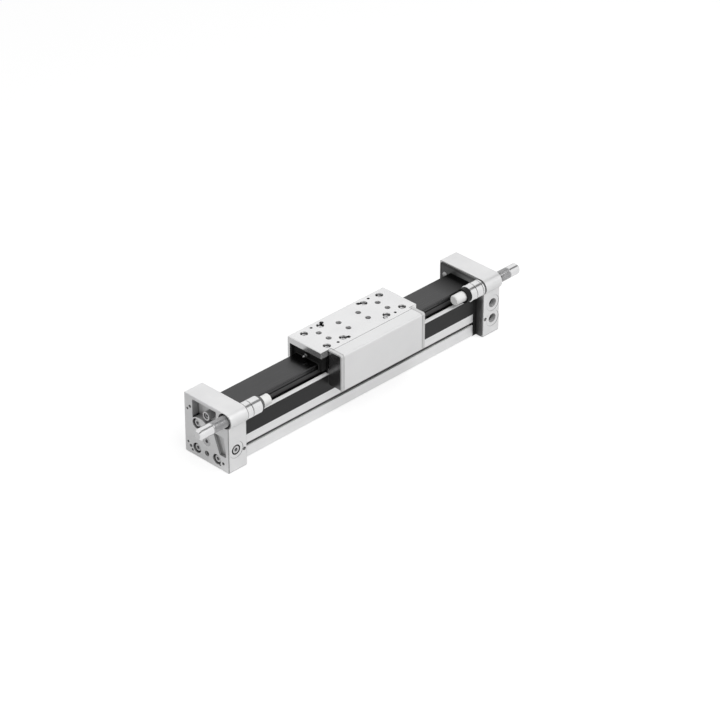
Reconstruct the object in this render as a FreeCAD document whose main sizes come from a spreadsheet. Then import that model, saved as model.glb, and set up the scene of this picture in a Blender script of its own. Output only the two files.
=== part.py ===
import FreeCAD, Part
import os
import Sketcher
from FreeCAD import Placement, Rotation, Vector

# Rodless pneumatic cylinder with a guide rail and two shock absorbers.
# X runs along the stroke, from the near end (-X) to the far end (+X), and Z is up from the bottom of the
# end caps. Pieces are drawn with Y = 0 in the plane of the bore and the rail, and are moved at the end so
# that the middle of the whole drive is at Y = 0. All sizes are in mm.

doc = FreeCAD.newDocument("rodless_cylinder")
sheet = doc.addObject("Spreadsheet::Sheet", "dims")

DRIVING_DIMENSIONS = {
    # overall
    "drive_length": 325.0,
    "carriage_rest": 7.3,
    # end caps
    "cap_thickness": 20.0,
    "cap_margin": 7.5,
    "cap_corner": 1.5,
    "cap_edge": 0.5,
    "cover_plate": 1.2,
    "cover_plate_inset": 1.4,
    "gasket": 4.4,
    "cap_screw_pitch": 24.0,
    "cap_screw_sink": 1.2,
    "cap_screw_room": 1.2,
    "cap_screw_grip": 5.6,
    "pocket_depth": 7.0,
    "pocket_round": 1.4,
    "relief_depth": 3.6,
    "relief_round": 2.4,
    "relief_low": 6.2,
    "relief_high": 12.6,
    "relief_left": 15.7,
    "relief_lean": 0.4,
    "relief_right": 23.2,
    "relief_corner": 1.1,
    "pocket_shoulder": 5.7,
    "pocket_wall": 3.3,
    "pocket_side": 9.9,
    "boss_radius": 3.9,
    "rail_screw_sink": 1.0,
    "rail_screw_grip": 9.0,
    "web_radius": 14.5,
    "web_offset": 8.2,
    "web_rise": 4.1,
    "accessory_pitch": 39.2,
    "accessory_radius": 1.45,
    "accessory_low": 7.3,
    "accessory_from_top": 11.7,
    "accessory_depth": 8.0,
    "dimple_radius": 1.1,
    "dimple_depth": 0.8,
    "dimple_offset": 3.0,
    "centre_thread_radius": 2.5,
    "centre_thread_depth": 12.0,
    "port_radius": 4.3,
    "port_depth": 5.5,
    "port_from_face": 8.5,
    "port_ring_radius": 7.7,
    "port_ring_depth": 0.3,
    "drill_radius": 2.0,
    "far_port_below": 5.1,
    "far_port_above": 10.4,
    "bleed_radius": 1.65,
    "bleed_below": 2.8,
    "bleed_depth": 6.0,
    "bleed_from_inside": 2.4,
    # cylinder profile
    "profile_width": 38.0,
    "profile_height": 38.8,
    "profile_bottom": 1.0,
    "profile_edge": 0.6,
    "bore_radius": 12.5,
    "sensor_slot_height": 12.4,
    "sensor_slot_mouth": 3.4,
    "sensor_slot_lip": 1.5,
    "sensor_slot_pocket": 6.0,
    "sensor_slot_depth": 4.0,
    "strip_height": 16.0,
    "strip_lip": 0.6,
    "strip_thickness": 1.2,
    "slot_from_rail": 0.85,
    "slot_width": 1.5,
    "band_width": 6.0,
    "band_thickness": 0.4,
    # guide rail
    "rail_width": 26.4,
    "rail_height": 10.2,
    "rail_chamfer": 0.5,
    "dovetail_top": 9.0,
    "dovetail_bottom": 12.0,
    "dovetail_depth": 2.0,
    "ball_below_rail_top": 3.0,
    "ball_radius": 1.6,
    "ball_groove_radius": 1.8,
    "ball_pitch": 3.6,
    # shock absorbers
    "lug_radius": 7.7,
    "damper_above_ledge": 10.0,
    "damper_beside_profile": 3.0,
    "sleeve_beside_rail": 0.8,
    "damper_radius": 5.1,
    "near_damper_outside": 29.8,
    "far_damper_outside": 26.5,
    "damper_bore": 3.6,
    "damper_wall": 3.0,
    "damper_back_wall": 4.0,
    "damper_sink_radius": 7.0,
    "damper_sink_depth": 5.0,
    "damper_edge": 1.8,
    "ring_radius": 7.6,
    "ring_edge": 0.7,
    "near_bumper_length": 3.0,
    "near_bumper_wall": 0.7,
    "far_bumper_length": 4.8,
    "far_bumper_wall": 1.4,
    "sleeve_room": 0.2,
    "rod_radius": 2.5,
    "rod_in_buffer": 6.0,
    "damper_piston_length": 8.0,
    "buffer_radius": 4.7,
    "buffer_length": 12.8,
    "buffer_edge": 0.9,
    "near_ring_end": 6.8,
    "near_sleeve_end": 17.2,
    "near_buffer_tip": 30.0,
    "far_spacer_end": 3.4,
    "far_ring_end": 11.0,
    "far_sleeve_end": 17.6,
    "far_buffer_tip": 33.6,
    # carriage
    "plate_length": 114.0,
    "plate_overhang": 1.0,
    "table_beside_rail": 5.0,
    "table_above_rail": 9.0,
    "plate_thickness": 6.0,
    "plate_edge": 0.5,
    "table_offset": 1.1,
    "cover_shift": 1.4,
    "tongue_length": 93.4,
    "tongue_reach": 3.1,
    "skirt_thickness": 2.5,
    "skirt_drop": 14.4,
    "table_pitch_x": 23.5,
    "table_pitch_y": 11.8,
    "table_thread_radius": 2.5,
    "table_screw_sink": 1.9,
    "table_screw_room": 0.6,
    "table_screw_grip": 6.4,
    "pin_radius": 1.9,
    "pin_depth": 4.5,
    "pin_x": 22.0,
    "pin_y": 16.2,
    "spot_radius": 1.25,
    "spot_depth": 3.0,
    "spot_x": 34.2,
    "runner_middle": 35.5,
    "runner_length": 24.4,
    "runner_inset": 0.5,
    "runner_above_ledge": 1.2,
    "runner_screw_x": 19.0,
    "runner_screw_y": 27.4,
    "wiper_thickness": 5.4,
    "wiper_drop": 6.5,
    "wiper_inset": 3.1,
    "nipple_above_rail": 3.6,
    "nipple_radius": 1.1,
    "nipple_length": 6.0,
    "nipple_depth": 3.5,
    "cover_wall": 1.4,
    "cover_depth": 15.8,
    "cover_drop": 34.7,
    "cover_corner": 2.0,
    "frame_thickness": 3.0,
    "panel_thickness": 2.0,
    "panel_sink": 0.6,
    "stop_block_length": 22.0,
    "stop_block_above_ledge": 4.2,
    "stop_screw_pitch": 8.4,
    "stop_screw_rise": 6.2,
    "stop_screw_hold": 6.0,
    "stop_screw_room": 0.3,
    "stop_screw_wall": 2.0,
    "driver_length": 40.0,
    "driver_blade": 1.1,
    "driver_flange": 4.0,
    "driver_screw_grip": 3.5,
    "driver_screw_inset": 4.0,
    "driver_flange_left": 7.5,
    # piston
    "piston_half_length": 52.0,
    "piston_head_length": 12.0,
    "yoke_gap": 0.7,
    "foot_depth": 6.5,
    "foot_screw_room": 0.2,
    "foot_screw_cover": 1.0,
    "foot_channel": 6.9,
    "foot_width": 14.0,
    "foot_rise": 3.4,
    "foot_bridge": 1.8,
    "foot_bridge_width": 9.0,
    "seal_width": 2.4,
    "seal_depth": 2.2,
    "head_screw_sink": 1.0,
    "head_screw_room": 0.3,
    "head_screw_grip": 11.0,
    "magnet_radius": 3.0,
    "magnet_length": 5.0,
    "magnet_sink": 0.3,
    "plug_in_bore": 8.0,
    "plug_hole": 3.0,
    "plug_flat": 3.0,
    "o_ring_radius": 0.9,
    # clearances
    "fit": 0.05,
    "running_fit": 0.08,
    "running_gap": 0.3,
    "seam": 0.25,
    "frame_seam": 0.4,
    "screw_edge": 0.35,
}

# Radius, head radius, head height and socket radius across the corners
SCREW_SIZES = {
    "cap_screw": (2.0, 3.5, 4.0, 1.73),
    "rail_screw": (2.0, 2.8, 2.5, 1.44),
    "table_screw": (1.5, 2.75, 2.6, 1.44),
    "stop_screw": (2.0, 3.5, 4.0, 1.73),
    "driver_screw": (1.5, 2.75, 2.2, 1.44),
    "foot_screw": (1.0, 1.9, 1.6, 0.87),
    "head_screw": (2.5, 4.25, 4.0, 2.3),
    "plate_screw": (1.4, 2.4, 1.5, 0.0),
}
for screw_name, sizes in SCREW_SIZES.items():
    for what, size in zip(("radius", "head_radius", "head_height", "socket"), sizes):
        DRIVING_DIMENSIONS[f"{screw_name}_{what}"] = size

BALLS_PER_ROW = 6

for row, (alias, size) in enumerate(DRIVING_DIMENSIONS.items(), start=1):
    sheet.set("A%d" % row, alias)
    sheet.set("B%d" % row, str(size))
    sheet.setAlias("B%d" % row, alias)
doc.recompute()

NODES = {}

# Places that several pieces share, as expressions on the sheet
END = "(dims.drive_length / 2)"
CAP_INSIDE = "(dims.drive_length / 2 - dims.cap_thickness)"
PLATE_INSIDE = f"({CAP_INSIDE} - dims.cover_plate)"
PROFILE_END = f"({PLATE_INSIDE} - dims.gasket)"
PLUG_INSIDE = f"({PROFILE_END} - dims.plug_in_bore)"
HALF_PROFILE = "(dims.profile_width / 2)"
HALF_CAP = f"({HALF_PROFILE} + dims.cap_margin)"
HALF_RAIL = "(dims.rail_width / 2)"
BORE_Z = "(dims.profile_bottom + dims.profile_height / 2)"
LEDGE_Z = "(dims.profile_bottom + dims.profile_height)"
STRIP_TOP = f"({LEDGE_Z} - dims.strip_lip)"
STRIP_LOW = f"({STRIP_TOP} - dims.strip_height)"
RAIL_TOP = f"({LEDGE_Z} + dims.rail_height)"
RAIL_MIDDLE = f"({LEDGE_Z} + dims.rail_height / 2)"
SLEEVE_BORE = "(dims.damper_radius + dims.sleeve_room)"
BALL_Z = f"({RAIL_TOP} - dims.ball_below_rail_top)"
BALL_Y = f"({HALF_RAIL} + dims.running_gap / 2)"
DAMPER_Y = (f"(-max({HALF_PROFILE} + dims.damper_beside_profile; "
            f"{HALF_RAIL} + dims.ring_radius + dims.sleeve_beside_rail))")
DAMPER_Z = f"({LEDGE_Z} + dims.damper_above_ledge)"
CAP_TOP = f"({DAMPER_Z} + dims.lug_radius)"
ACCESSORY_HIGH = f"({CAP_TOP} - dims.accessory_from_top)"
PLATE_LOW = f"({RAIL_TOP} + dims.table_above_rail)"
PLATE_TOP = f"({PLATE_LOW} + dims.plate_thickness)"
# The carriage is as wide as the profile, or wider where the rail needs the room
HALF_TABLE = f"(max({HALF_PROFILE}; {HALF_RAIL} + dims.table_beside_rail))"
PLATE_LEFT = f"({HALF_TABLE} + dims.plate_overhang)"
PLATE_RIGHT = f"(-{PLATE_LEFT})"
SKIRT_INNER = f"({PLATE_LEFT} - dims.skirt_thickness - dims.fit)"
TONGUE_RIGHT = f"({PLATE_RIGHT} - dims.tongue_reach)"
COVER_RIGHT = f"({PLATE_RIGHT} - dims.cover_depth)"
COVER_INNER = f"({COVER_RIGHT} + dims.cover_wall)"
COVER_CEILING = f"({PLATE_TOP} - dims.cover_wall)"
COVER_LOW = f"({PLATE_TOP} - dims.cover_drop)"
RUNNER_INNER = "(dims.runner_middle - dims.runner_length / 2)"
RUNNER_OUTER = "(dims.runner_middle + dims.runner_length / 2)"
RUNNER_HALF = f"({HALF_TABLE} - dims.runner_inset)"
RUNNER_LOW = f"({LEDGE_Z} + dims.runner_above_ledge)"
CHANNEL_HALF = f"({HALF_RAIL} + dims.running_gap)"
WIPER_OUTER = f"({RUNNER_OUTER} + dims.wiper_thickness)"
NIPPLE_Z = f"({RAIL_TOP} + dims.nipple_above_rail)"
FRAME_INNER = "(dims.tongue_length / 2 + dims.frame_seam)"
FRAME_OUTER = f"({FRAME_INNER} + dims.frame_thickness)"
PANEL_OUTER = f"({FRAME_OUTER} - dims.panel_sink)"
PANEL_INNER = f"({PANEL_OUTER} - dims.panel_thickness)"
STOP_LOW = f"({LEDGE_Z} + dims.stop_block_above_ledge)"
# The slot leans away from the rail, so that its mouth lies on the ledge beside the rail
SLOT_SLOPE = f"(({HALF_RAIL} + dims.slot_from_rail) / (dims.profile_height / 2))"
SLOT_TILT = f"atan({SLOT_SLOPE})"
BAND_SEAT = "(dims.bore_radius + dims.fit)"
BAND_UNDERSIDE = f"({BAND_SEAT} - dims.fit - dims.band_thickness)"
BAND_CLEAR = f"({BAND_UNDERSIDE} - dims.running_gap)"
YOKE_RADIUS = "(dims.bore_radius - dims.yoke_gap)"
YOKE_FLAT = "(dims.bore_radius - dims.foot_depth)"
FOOT_HIGH = f"({YOKE_FLAT} + dims.foot_rise)"
FOOT_TOP = f"({FOOT_HIGH} + dims.foot_bridge)"
# Under the driver the band runs halfway between the yoke's flat and the driver's bridge
BAND_DIP = f"({BAND_UNDERSIDE} - {YOKE_FLAT} - (dims.foot_rise - dims.band_thickness) / 2)"
HEAD_INNER = "(dims.piston_half_length - dims.piston_head_length)"
AXIS_Y = f"((-{COVER_RIGHT} - {HALF_CAP}) / 2)"


def value(expression):
    return float(sheet.evalExpression(str(expression)))


def name_node(item, label):
    item.Label = label
    NODES[label] = item
    return item


def place(item, x="0", y="0", z="0", axis=None, angle=0):
    if axis is not None:
        item.Placement = Placement(Vector(), Rotation(Vector(*axis), value(angle)))
        if isinstance(angle, str):
            item.setExpression("Placement.Rotation.Angle", angle)
    for letter, expression in zip("xyz", (x, y, z)):
        item.setExpression("Placement.Base." + letter, str(expression))
    return item


# Moves a piece that is drawn about the bore axis, with local Z along the driver slot, to its place
def tilt_to_slot(item, x="0"):
    return place(item, x, "0", BORE_Z, (1, 0, 0), SLOT_TILT)


def box(name, x, y, z):
    item = doc.addObject("Part::Box", name)
    for side, (low, high) in zip(("Length", "Width", "Height"), (x, y, z)):
        item.setExpression(side, f"({high}) - ({low})")
    return place(item, x[0], y[0], z[0])


TURN_TO_AXIS = {"x": ((0, 1, 0), 90), "y": ((1, 0, 0), -90), "z": ((0, 0, 1), 0)}


# A cylinder along an axis, from low to high on that axis; centre gives the other two coordinates in order
def rod(name, axis, radius, low, high, centre):
    item = doc.addObject("Part::Cylinder", name)
    item.setExpression("Radius", str(radius))
    item.setExpression("Height", f"({high}) - ({low})")
    turn, angle = TURN_TO_AXIS[axis]
    where = list(centre)
    where.insert("xyz".index(axis), low)
    return place(item, *where, axis=turn, angle=angle)


def fuse(name, pieces):
    item = doc.addObject("Part::MultiFuse", name)
    item.Shapes = pieces
    return item


def cut(name, base, tools):
    item = doc.addObject("Part::Cut", name)
    item.Base = base
    item.Tool = tools[0] if len(tools) == 1 else fuse(name + "_tools", tools)
    return item


def group(label, pieces):
    item = doc.addObject("Part::Compound", label)
    item.Links = pieces
    return name_node(item, label)


def draw_outline(sketch, points):
    places = [Vector(value(a), value(b), 0) for a, b in points]
    first = sketch.GeometryCount
    count = len(points)
    for i in range(count):
        sketch.addGeometry(Part.LineSegment(places[i], places[(i + 1) % count]))
    for i in range(count):
        sketch.addConstraint(Sketcher.Constraint("Coincident", first + i, 2, first + (i + 1) % count, 1))
    for i, (point, spot) in enumerate(zip(points, places)):
        for kind, expression, size in (("DistanceX", point[0], spot.x), ("DistanceY", point[1], spot.y)):
            number = sketch.addConstraint(Sketcher.Constraint(kind, -1, 1, first + i, 1, size))
            sketch.setExpression("Constraints[%d]" % number, str(expression))


def new_sketch(body, role, points, offset="0"):
    sketch = body.newObject("Sketcher::SketchObject", body.Name + "_outline")
    plane = next(item for item in body.Origin.OriginFeatures if item.Role == role)
    sketch.AttachmentSupport = [(plane, "")]
    sketch.MapMode = "FlatFace"
    sketch.setExpression("AttachmentOffset.Base.z", str(offset))
    draw_outline(sketch, points)
    return sketch


# A body padded from low to high along the plane's normal
def prism(name, role, points, low, high):
    body = doc.addObject("PartDesign::Body", name)
    sketch = new_sketch(body, role, points, low)
    pad = body.newObject("PartDesign::Pad", name + "_pad")
    pad.Profile = sketch
    pad.setExpression("Length", f"({high}) - ({low})")
    return body


# A body turned about the X axis from half an outline of (x, radius) points
def turned(name, points):
    body = doc.addObject("PartDesign::Body", name)
    sketch = new_sketch(body, "XY_Plane", points)
    turn = body.newObject("PartDesign::Revolution", name + "_turn")
    turn.Profile = sketch
    turn.ReferenceAxis = (sketch, ["H_Axis"])
    turn.Angle = 360.0
    return body


# Rounds or bevels the edges of a body's last feature that the test picks
def dress(body, kind, size, pick):
    doc.recompute()
    base = body.Tip
    edges = ["Edge%d" % (i + 1) for i, edge in enumerate(base.Shape.Edges) if pick(edge)]
    feature = body.newObject("PartDesign::" + kind, body.Name + "_" + kind.lower())
    feature.Base = (base, edges)
    feature.setExpression("Radius" if kind == "Fillet" else "Size", str(size))
    return body


def runs_along(edge, axis):
    way = edge.tangentAt(edge.FirstParameter)
    return edge.Curve.TypeId == "Part::GeomLine" and abs(abs(getattr(way, axis)) - 1) < 1e-6


def lies_at(edge, **where):
    centre = edge.CenterOfMass
    return all(abs(getattr(centre, axis) - value(spot)) < 1e-3 for axis, spot in where.items())


# Low and high along X of a span that is given for the far end, on either end
def span(side, low, high):
    return (low, high) if side > 0 else (f"-({high})", f"-({low})")


def on_side(side, expression):
    return expression if side > 0 else f"-({expression})"


ENDS = (("near", -1), ("far", 1))


# Socket screws: one screw is drawn along X with the bottom of its head at X = 0 and its shank
# towards -X, and links put a copy at each place
def screw(name, length):
    radius, head_radius = f"dims.{name}_radius", f"dims.{name}_head_radius"
    head_height = f"dims.{name}_head_height"
    blank = turned(name + "_blank", [
        (f"-({length})", "0"), (head_height, "0"), (head_height, f"{head_radius} - dims.screw_edge"),
        (f"{head_height} - dims.screw_edge", head_radius), ("0", head_radius), ("0", radius),
        (f"-({length})", radius),
    ])
    hexagon = doc.addObject("Part::Prism", name + "_hexagon")
    hexagon.Polygon = 6
    hexagon.setExpression("Circumradius", f"dims.{name}_socket")
    hexagon.setExpression("Height", head_height)
    place(hexagon, f"{head_height} * 0.4", axis=(0, 1, 0), angle=90)
    return cut(name, blank, [hexagon])


HEAD_TOWARDS = {
    "-x": ((0, 0, 1), 180), "+x": ((0, 0, 1), 0), "-y": ((0, 0, 1), -90), "+y": ((0, 0, 1), 90),
    "+z": ((0, 1, 0), -90), "-z": ((0, 1, 0), 90),
}


def copies(label, master, spots):
    links = []
    for number, (way, x, y, z) in enumerate(spots):
        link = doc.addObject("App::Link", f"{label}_{number}")
        link.LinkedObject = master
        turn, angle = HEAD_TOWARDS[way]
        links.append(place(link, x, y, z, turn, angle))
    return group(label, links)


def hole_for(screw_name):
    return f"(dims.{screw_name}_radius + dims.fit)"


PLATE_SCREW_SPOT = ("dims.accessory_pitch / 2", ACCESSORY_HIGH)
PLATE_SCREW_LENGTH = "dims.accessory_depth"
# The lug of the shock absorber takes the place of a fourth cap screw
CAP_SCREW_SPOTS = [(f"({a} * dims.cap_screw_pitch / 2)", f"({BORE_Z} + {b} * dims.cap_screw_pitch / 2)")
                   for a, b in ((-1, -1), (1, -1), (1, 1))]
LOWER_SCREWS_Z = f"({BORE_Z} - dims.cap_screw_pitch / 2)"
UPPER_SCREWS_Z = f"({BORE_Z} + dims.cap_screw_pitch / 2)"
RAIL_SCREW_SEAT = "(dims.rail_screw_head_height + dims.rail_screw_sink)"
CAP_SCREW_SEAT = "(dims.cap_screw_head_height + dims.cap_screw_sink)"


def make_profile():
    half, low, top, edge = HALF_PROFILE, "dims.profile_bottom", LEDGE_Z, "dims.profile_edge"
    slot_z = f"({low} + dims.sensor_slot_height)"

    # Corners of the sensor slot on one side, from the bottom up
    def sensor_slot(sign):
        lip = f"{sign} * ({half} - dims.sensor_slot_lip)"
        back = f"{sign} * ({half} - dims.sensor_slot_depth)"
        face = f"{sign} * {half}"
        mouth, pocket = "dims.sensor_slot_mouth / 2", "dims.sensor_slot_pocket / 2"
        below = [(face, f"{slot_z} - {mouth}"), (lip, f"{slot_z} - {mouth}"), (lip, f"{slot_z} - {pocket}"),
                 (back, f"{slot_z} - {pocket}")]
        above = [(back, f"{slot_z} + {pocket}"), (lip, f"{slot_z} + {pocket}"),
                 (lip, f"{slot_z} + {mouth}"),
                 (face, f"{slot_z} + {mouth}")]
        return below + above

    recess = f"-({half} - dims.strip_thickness)"
    outline = [(f"-{half} + {edge}", low), (f"{half} - {edge}", low), (half, f"{low} + {edge}")]
    outline += sensor_slot(1)
    outline += [
        (half, f"{top} - {edge}"), (f"{half} - {edge}", top),
        ("dims.dovetail_top / 2", top), ("dims.dovetail_bottom / 2", f"{top} - dims.dovetail_depth"),
        ("-dims.dovetail_bottom / 2", f"{top} - dims.dovetail_depth"), ("-dims.dovetail_top / 2", top),
        (f"-{half}", top), (f"-{half}", STRIP_TOP), (recess, STRIP_TOP), (recess, STRIP_LOW),
        (f"-{half}", STRIP_LOW),
    ]
    outline += sensor_slot(-1)[::-1]
    outline += [(f"-{half}", f"{low} + {edge}")]
    block = prism("profile_block", "YZ_Plane", outline, f"-{PROFILE_END}", PROFILE_END)
    reach = f"({PROFILE_END} + 1)"
    bore = rod("profile_bore", "x", "dims.bore_radius", f"-{reach}", reach, ("0", BORE_Z))
    slot = fuse("driver_slot", [
        box("slot_cut", (f"-{reach}", reach), ("-dims.slot_width / 2", "dims.slot_width / 2"),
            ("dims.bore_radius / 2", "dims.profile_height")),
        box("band_seat", (f"-{reach}", reach),
            ("-dims.band_width / 2 - dims.fit * 4", "dims.band_width / 2 + dims.fit * 4"),
            ("dims.bore_radius / 2", BAND_SEAT)),
    ])
    tilt_to_slot(slot)
    threads = []
    for name, side in ENDS:
        for number, (y, z) in enumerate(CAP_SCREW_SPOTS):
            low_x, high_x = span(side, f"{PROFILE_END} - dims.cap_screw_grip * 2", f"{PROFILE_END} + 1")
            threads.append(rod(f"{name}_thread_{number}", "x", hole_for("cap_screw"), low_x, high_x,
                               (y, z)))
    name_node(cut("cylinder_profile", block, [bore, slot] + threads), "cylinder_profile")

    strip = box("side_cover_strip", (f"-{PROFILE_END}", PROFILE_END), (f"-{half}", f"{recess} - dims.fit"),
                (f"{STRIP_LOW} + dims.fit", f"{STRIP_TOP} - dims.fit"))
    name_node(strip, "side_cover_strip")


def make_rail():
    half, low, top, chamfer = HALF_RAIL, LEDGE_Z, RAIL_TOP, "dims.rail_chamfer"
    neck, foot = "(dims.dovetail_top / 2 - dims.fit)", "(dims.dovetail_bottom / 2 - dims.fit)"
    foot_z = f"{low} - dims.dovetail_depth + dims.fit"
    right = [(f"-{half} + {chamfer}", top), (f"-{half}", f"{top} - {chamfer}"), (f"-{half}", low),
             (f"-{neck}", low),
             (f"-{foot}", foot_z)]
    left = [(foot, foot_z), (neck, low), (half, low), (half, f"{top} - {chamfer}"),
            (f"{half} - {chamfer}", top)]
    block = prism("rail_block", "YZ_Plane", right + left, f"-{PLATE_INSIDE}", PLATE_INSIDE)
    reach = f"({PLATE_INSIDE} + 1)"
    cuts = [rod("rail_groove_right", "x", "dims.ball_groove_radius", f"-{reach}", reach,
                (f"-{BALL_Y}", BALL_Z)),
            rod("rail_groove_left", "x", "dims.ball_groove_radius", f"-{reach}", reach, (BALL_Y, BALL_Z)),
            # The foot stops at the profile's ends, where the gaskets begin
            box("rail_foot_near", (f"-{reach}", f"-{PROFILE_END}"), (f"-{half}", half),
                (f"{low} - dims.dovetail_depth * 2", low)),
            box("rail_foot_far", (PROFILE_END, reach), (f"-{half}", half),
                (f"{low} - dims.dovetail_depth * 2", low))]
    for name, side in ENDS:
        low_x, high_x = span(side, f"{PLATE_INSIDE} - dims.rail_screw_grip - 2", reach)
        cuts.append(rod(f"{name}_rail_thread", "x", hole_for("rail_screw"), low_x, high_x,
                        ("0", RAIL_MIDDLE)))
    name_node(cut("guide_rail", block, cuts), "guide_rail")


# An end cap's or its inner plate's block: a rectangle whose upper right corner is the round lug.
# Inner and outer are distances along X on the far end, bottom is the height of the underside, inset is how
# far the block stays inside the cap's outline, and edge is the bevel around the outer face.
def cap_block(name, side, inner, outer, bottom, inset="0", edge=None):
    half, top = f"({HALF_CAP} - {inset})", f"({CAP_TOP} - {inset})"
    low, high = span(side, inner, outer)
    outline = [(f"-{half}", bottom), (half, bottom), (half, top), (DAMPER_Y, top), (DAMPER_Y, DAMPER_Z),
               (f"-{half}", DAMPER_Z)]
    block = prism(name + "_block", "YZ_Plane", outline, low, high)
    corners = [(f"-{half}", bottom), (half, bottom), (half, top)]
    dress(block, "Fillet", "dims.cap_corner",
          lambda edge: runs_along(edge, "x") and any(lies_at(edge, y=y, z=z) for y, z in corners))
    if edge is None:
        lug = rod(name + "_lug", "x", f"dims.lug_radius - {inset}", low, high, (DAMPER_Y, DAMPER_Z))
        return fuse(name + "_whole", [block, lug])
    face = on_side(side, outer)
    rim = [dict(x=face, y=half), dict(x=face, y=f"-{half}"), dict(x=face, z=bottom), dict(x=face, z=top)]
    dress(block, "Chamfer", edge, lambda edge: any(lies_at(edge, **at) for at in rim))
    lug_outline = [(inner, "0"), (inner, "dims.lug_radius"), (f"({outer} - {edge})", "dims.lug_radius"),
                   (outer, f"dims.lug_radius - {edge}"), (outer, "0")]
    lug = turned(name + "_lug", [(on_side(side, x), r) for x, r in lug_outline])
    place(lug, "0", DAMPER_Y, DAMPER_Z)
    return fuse(name + "_whole", [block, lug])


def make_cap(name, side):
    # A round cut from the outer face, or from the inner face with inside set
    def drill(tag, radius, depth, y, z, inside=False):
        ends = (f"{END} - ({depth})", f"{END} + 1")
        if inside:
            ends = (f"{CAP_INSIDE} - 1", f"{CAP_INSIDE} + ({depth})")
        return rod(f"{name}_{tag}", "x", radius, *span(side, *ends), (y, z))

    through = "dims.cap_thickness + 1"
    half = "dims.accessory_pitch / 2"
    cuts = [
        drill("damper_hole", "dims.damper_radius + dims.fit", through, DAMPER_Y, DAMPER_Z),
        drill("damper_sink", "dims.damper_sink_radius", "dims.damper_sink_depth", DAMPER_Y, DAMPER_Z),
        drill("centre_thread", "dims.centre_thread_radius", "dims.centre_thread_depth", "0",
              LOWER_SCREWS_Z),
        drill("front_port", "dims.port_radius", "dims.port_depth", "0", BORE_Z),
        drill("chamber", "dims.plug_hole", through, "0", BORE_Z, True),
        drill("rail_screw_hole", hole_for("rail_screw"), through, "0", RAIL_MIDDLE),
        drill("rail_screw_sink", "dims.rail_screw_head_radius + dims.fit", RAIL_SCREW_SEAT, "0",
              RAIL_MIDDLE),
        drill("plate_screw_hole", hole_for("plate_screw"), PLATE_SCREW_LENGTH, *PLATE_SCREW_SPOT, True),
    ]
    for number, (y, z) in enumerate(CAP_SCREW_SPOTS):
        cuts.append(drill(f"screw_hole_{number}", hole_for("cap_screw"), through, y, z))
        wide = "dims.cap_screw_head_radius + dims.cap_screw_room"
        cuts.append(drill(f"screw_sink_{number}", wide, CAP_SCREW_SEAT, y, z))
    low, offset = "dims.accessory_low", "dims.dimple_offset"
    accessory = [(half, low), (f"-{half}", low), (half, ACCESSORY_HIGH)]
    for number, (y, z) in enumerate(accessory):
        cuts.append(drill(f"accessory_{number}", "dims.accessory_radius", "dims.accessory_depth", y, z))
    dimples = [(f"{half} + {offset}", f"{low} + {offset}"),
               (f"{half} - {offset} * 0.7", f"{low} - {offset}"),
               (f"{half} + {offset}", f"{ACCESSORY_HIGH} - {offset}"),
               (f"-{half} + {offset} * 1.3", f"{low} - {offset} * 0.9")]
    for number, (y, z) in enumerate(dimples):
        cuts.append(drill(f"dimple_{number}", "dims.dimple_radius", "dims.dimple_depth", y, z))
    cuts.append(upper_pocket(name, side))
    cuts.append(side_relief(name, side))
    cuts += side_ports(name, side)
    bleed_x = on_side(side, f"({CAP_INSIDE} + dims.bleed_from_inside)")
    cuts.append(rod(f"{name}_bleed", "y", "dims.bleed_radius", f"-{HALF_CAP} - 1",
                    f"-{HALF_CAP} + dims.bleed_depth", (bleed_x, f"{BORE_Z} - dims.bleed_below")))
    whole = cap_block(f"{name}_cap", side, CAP_INSIDE, END, "0", edge="dims.cap_edge")
    name_node(cut(f"{name}_end_cap", whole, cuts), f"{name}_end_cap")


# Pocket above the screws; the round web under it and the boss of the rail screw stay standing
def upper_pocket(name, side):
    left, right = f"({HALF_CAP} - dims.pocket_side)", "(-dims.cap_screw_pitch / 2)"
    top, low = f"({CAP_TOP} - dims.pocket_wall)", f"({BORE_Z} + dims.web_rise)"
    wall = "dims.pocket_shoulder"
    x = span(side, f"{END} - dims.pocket_depth", f"{END} + 1")
    outline = [(left, low), (left, top), (right, top), (right, f"{UPPER_SCREWS_Z} + {wall} * 1.5"),
               (f"{right} / 3", f"{UPPER_SCREWS_Z} + {wall} * 0.3"), (f"{right} / 3", low)]
    block = prism(f"{name}_pocket_block", "YZ_Plane", outline, *x)
    dress(block, "Fillet", "dims.cap_corner",
          lambda edge: runs_along(edge, "x") and lies_at(edge, y=left, z=top))
    back = on_side(side, f"({END} - dims.pocket_depth)")
    dress(block, "Fillet", "dims.pocket_round", lambda edge: lies_at(edge, x=back))
    web = rod(f"{name}_web", "x", "dims.web_radius", *x, ("dims.web_offset", low))
    boss = rod(f"{name}_boss", "x", "dims.boss_radius", *x, ("0", RAIL_MIDDLE))
    return cut(f"{name}_pocket", block, [web, boss])


# Shallow pocket beside the bore and under the lug; its left wall leans with the bore's wall
def side_relief(name, side):
    x = span(side, f"{END} - dims.relief_depth", f"{END} + 1")
    low, high = f"({BORE_Z} - dims.relief_low)", f"({BORE_Z} + dims.relief_high)"
    left, right = "(-dims.relief_left)", "(-dims.relief_right)"
    corner = "dims.relief_corner"
    lean = f"dims.relief_lean * ({high} - {low})"
    outline = [(f"{right} + {corner}", low), (left, low), (f"{left} + {lean}", high),
               (f"{right} + {corner} * 2.5", high), (f"{right} + {corner} * 0.5", BORE_Z),
               (right, f"{low} + {corner}")]
    block = prism(f"{name}_relief", "YZ_Plane", outline, *x)
    edge_at = dict(x=on_side(side, f"({END} - dims.relief_depth)"), y=f"{left} + {lean} / 2",
                   z=f"({low} + {high}) / 2")
    return dress(block, "Fillet", "dims.relief_round", lambda edge: lies_at(edge, **edge_at))


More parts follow.
